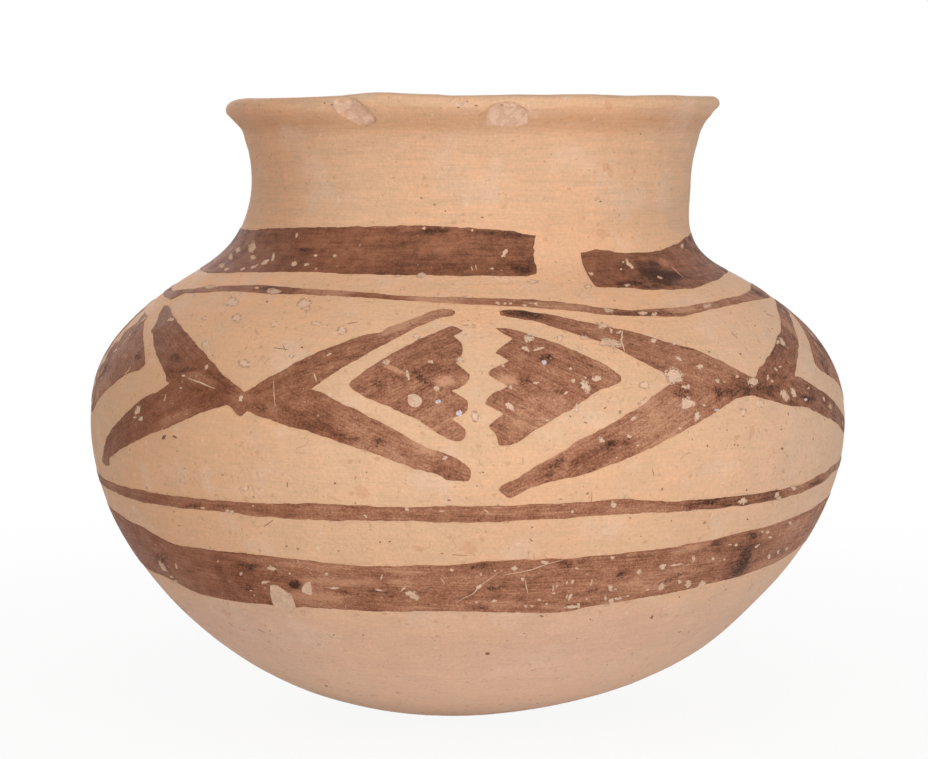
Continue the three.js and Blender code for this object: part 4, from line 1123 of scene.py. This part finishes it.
def make_lime(clay):
    """Clay with a broken grey ring of lime, drawn on each patch from its middle out."""
    board = Board("lime_ring")
    colour, roughness, relief = clay_colours(board, clay)
    place = board.place()
    reach = board.reach(board.uv()) + (board.noise(place, 1.6, 2) - 0.5) * 0.42
    ring = board.rise(reach, 0.34, 0.5) * (1 - board.rise(reach, 0.64, 0.84))
    broken = board.rise(board.noise(place, 0.9, 2), 0.2, 0.7)
    within = (1 - board.rise(reach, 0.4, 0.75)) * (0.15 + board.noise(place, 0.7, 2) * 0.7)
    outer = board.rise(reach, 0.6, 0.7) * (1 - board.rise(reach, 0.74, 0.9))
    colour = board.tint(
        colour, (within, 240, 203, 180), (ring * broken * 0.5, 176, 140, 120),
        (outer * broken * 0.45, 128, 98, 82))
    return board.finish(colour, roughness, relief, 0.35, 0.0004)


def make_plain(name, first, second, size, roughness):
    """Two shades of one stuff, broken up by noise, for specks and cracks."""
    board = Board(name)
    patches = board.noise(board.place(), size, 3, 0.7)
    colour = board.mix(board.rise(patches, 0.35, 0.65), first, second)
    return board.finish(colour, roughness + (patches - 0.5) * 0.2, patches, 0.5, 0.0002)


def make_slip(slip):
    """Brown slip laid on with a brush, thick and thin along the strokes, and worn."""
    board = Board("brushed_slip")
    spot = board.place()
    stroke = board.uv()
    soot, worn, thick, thin, coat = (
        board.add("ShaderNodeAttribute", {"attribute_name": name}, {}, "Fac")
        for name in ("soot", "worn", "thick", "thin", "coat"))

    hairs = board.noise(board.stretch(stroke, 0.12, 2.2, 1), 1, 3, 0.65)
    loads = board.noise(board.stretch(stroke, 0.035, 0.4, 1), 1, 2)
    lines = board.noise(board.stretch(spot, 0.1, 0.1, 2.6), 1, 2, 0.6)
    blotches = board.noise(spot, 3.2, 4, 0.7)
    clouds = board.noise(spot, 17, 2)
    grit = board.noise(spot, 0.55, 3, 0.8)
    crumbs = board.noise(board.stretch(spot, 1, 1, 1.4), 0.75, 4, 0.75)

    coarse = 0.48 - board.rise(board.part(spot, "Z"), 100, 112) * 0.27
    depth = 0.45 + (hairs - 0.5) * coarse * 0.65 + (loads - 0.5) * 0.18 + (blotches - 0.5) * 0.24
    depth = depth + (clouds - 0.5) * 0.12 + (grit - 0.5) * coarse + (lines - 0.5) * 0.12
    patchy = 0.35 + crumbs * 0.65
    depth = depth + (soot - worn) * patchy * 0.42 + (thick - thin) * 0.2 + coat * 0.26
    colour = board.add(
        "ShaderNodeValToRGB",
        {"stops": [(0, slip.thin), (0.5, slip.brown), (1, slip.dark)]}, {0: depth})
    # Painted shade: the slip on the left side, which gets less light, is tinted redder.
    redder_left_shade = 1 - board.rise(board.part(spot, "X"), -75, -5)
    black = board.rise(crumbs + soot * 0.5, 1.0, 1.2)
    rubbed = board.rise(grit + crumbs * 0.3 + worn * 0.42, 1.2, 1.42)
    pinholes = board.specks(spot, 2.7, 0.3, 0.1)
    crazing = board.hairlines(board.stretch(spot, 1, 1, 2.6), 2.1, 0.42)
    colour = board.tint(
        colour, (redder_left_shade * 0.45, 142, 82, 52), (black * 0.75, 60, 45, 40),
        (rubbed * 0.75, 214, 158, 122), (pinholes * 0.55, 212, 168, 138),
        (crazing * 0.5, 78, 54, 46))

    roughness = slip.roughness + (blotches - 0.5) * 0.2 + black * 0.15
    relief = hairs * 0.7 + grit * 0.8 + blotches * 0.6 - pinholes - crazing
    return board.finish(colour, roughness, relief, 0.45, 0.0003)


def finish_named(name, maker, settings):
    """The material of a name, made the first time that it is asked for."""
    return bpy.data.materials.get(name) or maker(settings)


def ease(before, corner, after):
    """The run of an outline through a corner, shorter where the corner is sharp."""
    turn = math.degrees((corner - before).angle(after - corner, 0))
    return (after - before) / 6 * (1 - 0.75 * rise(turn, 45, 95))


def soften(corners, step=0.6):
    """Rounds an outline between its corners and gives it the shake of a brush."""
    flat = [Vector((angle * STROKE_DEGREE, up)) for angle, up in corners]
    count = len(flat)
    rounded = []
    for number, start in enumerate(flat):
        end = flat[(number + 1) % count]
        leave = ease(flat[number - 1], start, end)
        arrive = ease(start, end, flat[(number + 2) % count])
        cuts = max(int((end - start).length / step), 1)
        curve = geometry.interpolate_bezier(start, start + leave, end - arrive, end, cuts + 1)
        rounded += curve[:-1]
    shaken = []
    for x, y in rounded:
        x += 0.16 * grain(x, y, 1, 2.4) + 0.1 * grain(x, y, 5, 0.9)
        y += 0.16 * grain(x, y, 9, 2.4) + 0.1 * grain(x, y, 13, 0.9)
        shaken.append((x / STROKE_DEGREE, y))
    return shaken


def motif_outlines():
    """Each motif's name, its outline where it stands on the flat wall, and its own angle."""
    for name, outline, at, stretch in MOTIFS:
        yield name, soften([(at + angle * stretch, up) for angle, up in outline]), at


def in_outline(corners, angle, up):
    """Whether a place lies within an outline."""
    inside = False
    for (a0, u0), (a1, u1) in zip(corners, corners[1:] + corners[:1]):
        if (u0 > up) != (u1 > up) and angle < a0 + (a1 - a0) * (up - u0) / (u1 - u0):
            inside = not inside
    return inside


@functools.cache
def unseen_wear():
    """Wear scattered over the sides, the back and the underside, like that on the front."""
    dice = random.Random(WEAR_SEED)
    painted = []
    motifs = [corners for _, corners, _ in motif_outlines()]
    while len(painted) < SPOTS_ON_SLIP:
        angle = dice.uniform(*UNSEEN_SLIP)
        if len(painted) % 3:
            up = dice.uniform(-8, 40)
            if not any(in_outline(corners, angle, up) for corners in motifs):
                continue
        else:
            table = dice.choice([NECK_BAND, UPPER_LINE, LOWER_BAND, LOWER_BAND])
            lower, upper = read_table(table, angle)
            up = dice.uniform(lower, upper)
        painted.append((angle, up))

    def spots(places, long, slim):
        made = []
        for angle, up in places:
            length = long * dice.lognormvariate(0, 0.45)
            tilt = dice.uniform(-90, 90)
            made.append((angle, up, length, length * dice.uniform(slim, 0.9), tilt))
        return made

    clay = [
        (dice.uniform(*UNSEEN_CLAY), dice.uniform(WEAR_LOW, WEAR_HIGH))
        for _ in range(SPOTS_ON_CLAY)]
    low = [
        (dice.uniform(-180, 180), dice.uniform(WEAR_LOW, BELLY_LOW)) for _ in range(SPOTS_BELOW)]
    return {
        "bare": spots(painted[:170], 1.25, 0.35),
        "soot": spots(painted[170:260], 5.2, 0.25),
        "worn": spots(painted[260:], 8, 0.25),
        "lime": spots(clay[:40], 2.2, 0.5),
        "dark": spots(clay[40:] + low, 0.62, 0.4),
    }


def stain(bm, wall, wear):
    """Writes where the slip is sooty, worn, thick and thin at the corners of a flat drawing."""
    marks = {
        "soot": SOOT + wear["soot"], "worn": WORN + wear["worn"], "thick": THICK, "thin": THIN}
    low = Vector((min(v.co.x for v in bm.verts), min(v.co.y for v in bm.verts))) - Vector((9, 9))
    high = Vector((max(v.co.x for v in bm.verts), max(v.co.y for v in bm.verts))) + Vector((9, 9))
    for name, patches in marks.items():
        layer = bm.verts.layers.float.new(name)
        inner, outer = (0.75, 1.15) if name in ("thick", "thin") else (0.55, 1.35)
        for angle, up, length, width, tilt, *weight in patches:
            for at in (angle, angle + 360):
                if not (low.x < at < high.x and low.y < up < high.y):
                    continue
                around = math.radians(wall.radius(up))
                turn = math.radians(tilt)
                for vert in bm.verts:
                    right, above = (vert.co.x - at) * around, vert.co.y - up
                    if abs(right) > length or abs(above) > length:
                        continue
                    along = (right * math.cos(turn) + above * math.sin(turn)) / length
                    across = (above * math.cos(turn) - right * math.sin(turn)) / width
                    reach = math.hypot(along, across) * 2
                    strong = (1 - rise(reach, inner, outer)) * (weight[0] if weight else 1)
                    vert[layer] = max(vert[layer], strong)


def lay_second_coat(bm, name):
    """Marks where a shape was painted over again, up to a slanting end."""
    layer = bm.verts.layers.float.new("coat")
    for shape, start, end, middle, slant, low, high, dark in SECOND_COATS:
        if shape != name:
            continue
        for vert in bm.verts:
            if not low < vert.co.y < high:
                continue
            edge = end - (vert.co.y - middle) * slant + 0.5 * grain(vert.co.y, end, 1, 3)
            for angle in (vert.co.x, vert.co.x - 360):
                coat = rise(angle, start, start + 3) * (1 - rise(angle, edge, edge + 0.6))
                vert[layer] = max(vert[layer], coat * dark)


def brush(bm, start, direction):
    """Lays the stroke's own coordinates, in millimetres along it and across it."""
    uv = flat_layer(bm)
    for face in bm.faces:
        middle = face.calc_center_median()
        way = direction(middle)
        for loop in face.loops:
            right, above = (loop.vert.co.x - start) * STROKE_DEGREE, loop.vert.co.y
            loop[uv].uv = (
                right * way.x + above * way.y + start, above * way.x - right * way.y + start)


def keep_slip(bm, wall, settings, name, start, direction, closed=False):
    """Stains and brushes a flat drawing of slip, and keeps it as a piece on the wall."""
    stain(bm, wall, unseen_wear())
    lay_second_coat(bm, name)
    brush(bm, start, direction)
    thicken(bm, settings.slip.thickness / MM + SLIP_SUNK)
    if closed:
        close_ring(bm, start)
    wrap(bm, wall)
    keep_piece(bm, name, finish_named("brushed_slip", make_slip, settings.slip), "slip", name)


class JAR_OT_build_wall(bpy.types.Operator):
    """Build the wall of the jar, in one piece from the base over the lip to the floor inside"""

    bl_idname = "jar.build_wall"
    bl_label = "Build Wall"

    def execute(self, context):
        settings = context.scene.pottery_jar
        wall = Wall(settings.shape)
        # Where each stretch of the mesh starts and ends, and how far its rows are apart
        spans = [
            (wall.first, wall.base, 3.4), (wall.base, -42, 2), (-42, 84, 1.45),
            (84, wall.inside + 4, 0.58), (wall.inside + 4, wall.last, 3.2),
        ]
        rows = []
        for start, end, step in spans:
            count = math.ceil((end - start) / step)
            rows += [start + (end - start) * number / count for number in range(count)]
        rows.append(wall.last)

        bm = bmesh.new()
        draw_strip(bm, WALL_COLUMNS, len(rows) - 1, lambda across, up: Vector(
            (360 * across - 180, rows[round(up * (len(rows) - 1))], 0)))
        # Finer squares round each chip, which is measured in degrees of the lip's 60 mm radius
        for at, below, _, width, _, _ in LIP_CHIPS:
            reach = width / 2 / math.radians(60) + 1
            near = [edge for edge in bm.edges if all(
                abs(vert.co.x - at) < reach and abs(vert.co.y - wall.lip + below) < 5.5
                for vert in edge.verts)]
            bmesh.ops.subdivide_edges(bm, edges=near, cuts=2, use_grid_fill=True)
        for vert in bm.verts:
            vert.co = wall.place(vert.co.x, vert.co.y)
        bmesh.ops.remove_doubles(bm, verts=bm.verts[:], dist=WALL_MERGE)
        # The last row stops just short of the floor's middle, and is drawn together there
        rim = [vert for vert in bm.verts if vert.is_boundary]
        bmesh.ops.pointmerge(bm, verts=rim, merge_co=wall.place(0, wall.last))
        bmesh.ops.recalc_face_normals(bm, faces=bm.faces[:])
        clay = finish_named("rubbed_clay", make_clay, settings.clay)
        keep_piece(bm, "jar_wall", clay, "clay", "jar_body")
        return {"FINISHED"}


class JAR_OT_paint_rings(bpy.types.Operator):
    """Paint the neck band, the two lines and the broad band below"""

    bl_idname = "jar.paint_rings"
    bl_label = "Paint Rings"

    def execute(self, context):
        settings = context.scene.pottery_jar
        wall = Wall(settings.shape)
        thickness = settings.slip.thickness / MM
        for name, table, rows in RINGS:
            start = table[0][0]
            span = table[-1][0] - start if name == "neck_band" else 360

            def shape(across, part):
                angle = start + span * across
                turned = angle if span < 360 else start + (angle - start) % 360
                lower, upper = read_table(table, turned)
                shake = [0.0, 0.0]
                for side in (0, 1):
                    x, y = math.sin(math.radians(angle)) * 60, math.cos(math.radians(angle)) * 60
                    shake[side] = 0.2 * grain(x, y, side * 40 + upper, 3)
                    shake[side] += 0.11 * grain(x, y, side * 70 + upper, 0.9)
                lower, upper = lower + shake[0], upper + shake[1]
                if span < 360:
                    angle += end_shift(across, lower + (upper - lower) * part)
                return Vector((angle, lower + (upper - lower) * part, thickness))

            bm = bmesh.new()
            draw_strip(bm, round(span * RING_COLUMNS), rows, shape)
            keep_slip(
                bm, wall, settings, name, start, lambda middle: Vector((1, 0)), span == 360)
        return {"FINISHED"}


def end_shift(across, up):
    """How far the neck band's ragged ends stand off its first and last stations, in degrees."""
    left = read_run(BAND_START, up) - BAND_START_AT
    right = read_run(BAND_END, up) - BAND_END_AT
    return left * (1 - rise(across, 0, 0.012)) + right * rise(across, 0.988, 1)


def read_run(table, value):
    """A value read off a table of pairs with straight lines between them."""
    for (low, first), (high, second) in zip(table, table[1:]):
        if value <= high:
            part = min(max((value - low) / (high - low), 0), 1)
            return first + (second - first) * part
    return table[-1][1]


class JAR_OT_paint_motifs(bpy.types.Operator):
    """Paint the chevron crosses and the stepped triangles between the two lines"""

    bl_idname = "jar.paint_motifs"
    bl_label = "Paint Motifs"

    def execute(self, context):
        settings = context.scene.pottery_jar
        wall = Wall(settings.shape)
        for name, corners, at in motif_outlines():
            cross = name.startswith("cross")

            def direction(middle):
                if cross:
                    side = (middle.x - at) * (middle.y - CROSS_MIDDLE)
                    return Vector((CROSS_STROKE[0], math.copysign(CROSS_STROKE[1], side)))
                along, up = TRIANGLE_STROKE
                return Vector((along, up if corners[0][0] < at else -up))

            bm = bmesh.new()
            draw_outline(bm, corners, MOTIF_CUTS, settings.slip.thickness / MM)
            keep_slip(bm, wall, settings, name, at, direction)
        return {"FINISHED"}


class JAR_OT_age_surface(bpy.types.Operator):
    """Add the chips, flaked spots, scratches, specks, cracks and lime rings of an old jar"""

    bl_idname = "jar.age_surface"
    bl_label = "Age Surface"

    def execute(self, context):
        settings = context.scene.pottery_jar
        clay = settings.clay
        wall = Wall(settings.shape)
        over = settings.slip.thickness / MM + OVER_SLIP
        wear = unseen_wear()
        bare = finish_named("bare_clay", make_bare, clay)
        lime = finish_named("lime_ring", make_lime, clay)
        white = make_plain("white_grit", shade(226, 214, 208), shade(198, 188, 190), 0.5, 0.6)
        dark = make_plain("dark_grit", shade(124, 90, 70), shade(170, 126, 98), 0.5, 0.6)
        scar = make_plain("broken_clay", shade(230, 194, 168), shade(217, 178, 151), 2.2, 0.8)

        def spots(marks, lift, grow=1.0, widen=1.0, **form):
            for angle, up, length, width, tilt in marks:
                draw_spot(bm, wall, (angle, up, length * grow, width * widen, tilt), lift, **form)

        def patches(outlines, lift, shake, step):
            for corners in outlines:
                draw_outline(bm, soften(corners, shake), step, lift)

        def lines(marks, lift):
            for width, stations in marks:
                draw_line(bm, wall, width, stations, lift)

        dark_marks = DARK_SPECKS + LIP_GRAINS + wear["dark"]
        # Each piece of wear: its name, its finish, how far it reaches down, and its drawing
        layers = [
            ("flaked_spots", bare, over + SUNK, lambda: spots(
                BARE_SPOTS + wear["bare"], over, 1.18, 1.22)),
            ("flaked_patches", bare, over + SUNK, lambda: patches(FLAKED_PATCHES, over, 0.5, 1.2)),
            ("scratches", bare, over + SUNK, lambda: lines(SCRATCHES, over)),
            ("lime_rings", lime, 0.07, lambda: spots(
                LIME_RINGS + wear["lime"], 0.03, 1.4, 1.4, wobble=0.12, sides=20)),
            ("white_specks", white, over + 0.07, lambda: spots(WHITE_SPECKS, over + 0.03)),
            ("dark_specks", dark, 0.09, lambda: spots(dark_marks, 0.05, 0.8, 0.8, sides=9)),
            ("fine_cracks", dark, 0.08, lambda: lines(CRACKS, 0.04)),
            ("lip_scars", scar, 0.08, lambda: (
                patches(LIP_SCARS, 0.04, 0.4, 0.5), spots(LIP_WEAR, 0.04, wobble=0.4))),
        ]
        for name, finish, depth, draw in layers:
            bm = bmesh.new()
            draw()
            thicken(bm, depth)
            wrap(bm, wall)
            keep_piece(bm, name, finish, "clay")
        return {"FINISHED"}


class JAR_OT_set_stage(bpy.types.Operator):
    """Set the pale floor, the soft light and the camera"""

    bl_idname = "jar.set_stage"
    bl_label = "Set Stage"

    def execute(self, context):
        scene = context.scene
        stage = scene.pottery_jar.stage

        board = Board("floor")
        matte = board.add("ShaderNodeBsdfDiffuse", {}, {"Color": FLOOR_COLOUR})
        glow = board.add("ShaderNodeEmission", {}, {"Color": WHITE, "Strength": 1})
        away = board.reach(board.place())
        white = board.backdrop() * (0.92 + board.rise(away, 100, 400) * 0.08)
        both = board.add("ShaderNodeMixShader", {}, {0: white, 1: matte, 2: glow})
        board.add("ShaderNodeOutputMaterial", {}, {"Surface": both})

        bm = bmesh.new()
        bmesh.ops.create_circle(bm, cap_ends=True, radius=FLOOR_RADIUS, segments=96)
        bmesh.ops.translate(bm, vec=(0, 0, -FLOOR_DROP), verts=bm.verts[:])
        make_object(bm, "floor", board.owner)

        room = Board("studio", bpy.data.worlds)
        scene.world = room.owner
        light, white = (
            room.add("ShaderNodeBackground", {}, {"Color": WHITE, "Strength": strength})
            for strength in (stage.fill, 1))
        both = room.add("ShaderNodeMixShader", {}, {0: room.backdrop(), 1: light, 2: white})
        room.add("ShaderNodeOutputWorld", {}, {"Surface": both})

        for name, place, size, share in LAMPS:
            light = bpy.data.lights.new(name, "AREA")
            light.shape = "RECTANGLE"
            light.size, light.size_y = size
            light.energy = stage.key * share
            lamp = bpy.data.objects.new(name, light)
            lamp.location = place
            aim = Vector(LAMPS_AIM) - Vector(place)
            lamp.rotation_euler = aim.to_track_quat("-Z", "Y").to_euler()
            context.collection.objects.link(lamp)

        view = bpy.data.cameras.new("camera")
        view.lens = CAMERA_LENS
        view.sensor_width = 36
        view.clip_start = 0.01
        camera = bpy.data.objects.new("camera", view)
        camera.location = CAMERA_PLACE
        camera.rotation_euler = Euler((math.radians(90 - CAMERA_TILT), 0, 0))
        context.collection.objects.link(camera)
        scene.camera = camera

        scene.view_settings.view_transform = "Standard"
        return {"FINISHED"}


class VIEW3D_PT_pottery_jar(bpy.types.Panel):
    bl_label = "Painted Pottery Jar"
    bl_space_type = "VIEW_3D"
    bl_region_type = "UI"
    bl_category = "Jar"

    def draw(self, context):
        layout = self.layout
        settings = context.scene.pottery_jar
        for part in ("shape", "clay", "slip", "stage"):
            box = layout.box()
            box.label(text=part.title())
            group = getattr(settings, part)
            for name in group.__annotations__:
                box.prop(group, name)
        for operator in OPERATORS:
            layout.operator(operator.bl_idname)


OPERATORS = (
    JAR_OT_build_wall, JAR_OT_paint_rings, JAR_OT_paint_motifs, JAR_OT_age_surface,
    JAR_OT_set_stage,
)
CLASSES = (
    ShapeSettings, ClaySettings, SlipSettings, StageSettings, JarSettings, *OPERATORS,
    VIEW3D_PT_pottery_jar,
)


def register():
    for cls in CLASSES:
        bpy.utils.register_class(cls)
    bpy.types.Scene.pottery_jar = PointerProperty(type=JarSettings)


def unregister():
    del bpy.types.Scene.pottery_jar
    for cls in reversed(CLASSES):
        bpy.utils.unregister_class(cls)


def main():
    register()
    bpy.ops.jar.build_wall()
    bpy.ops.jar.paint_rings()
    bpy.ops.jar.paint_motifs()
    bpy.ops.jar.age_surface()
    bpy.ops.jar.set_stage()


if __name__ == "__main__":
    main()
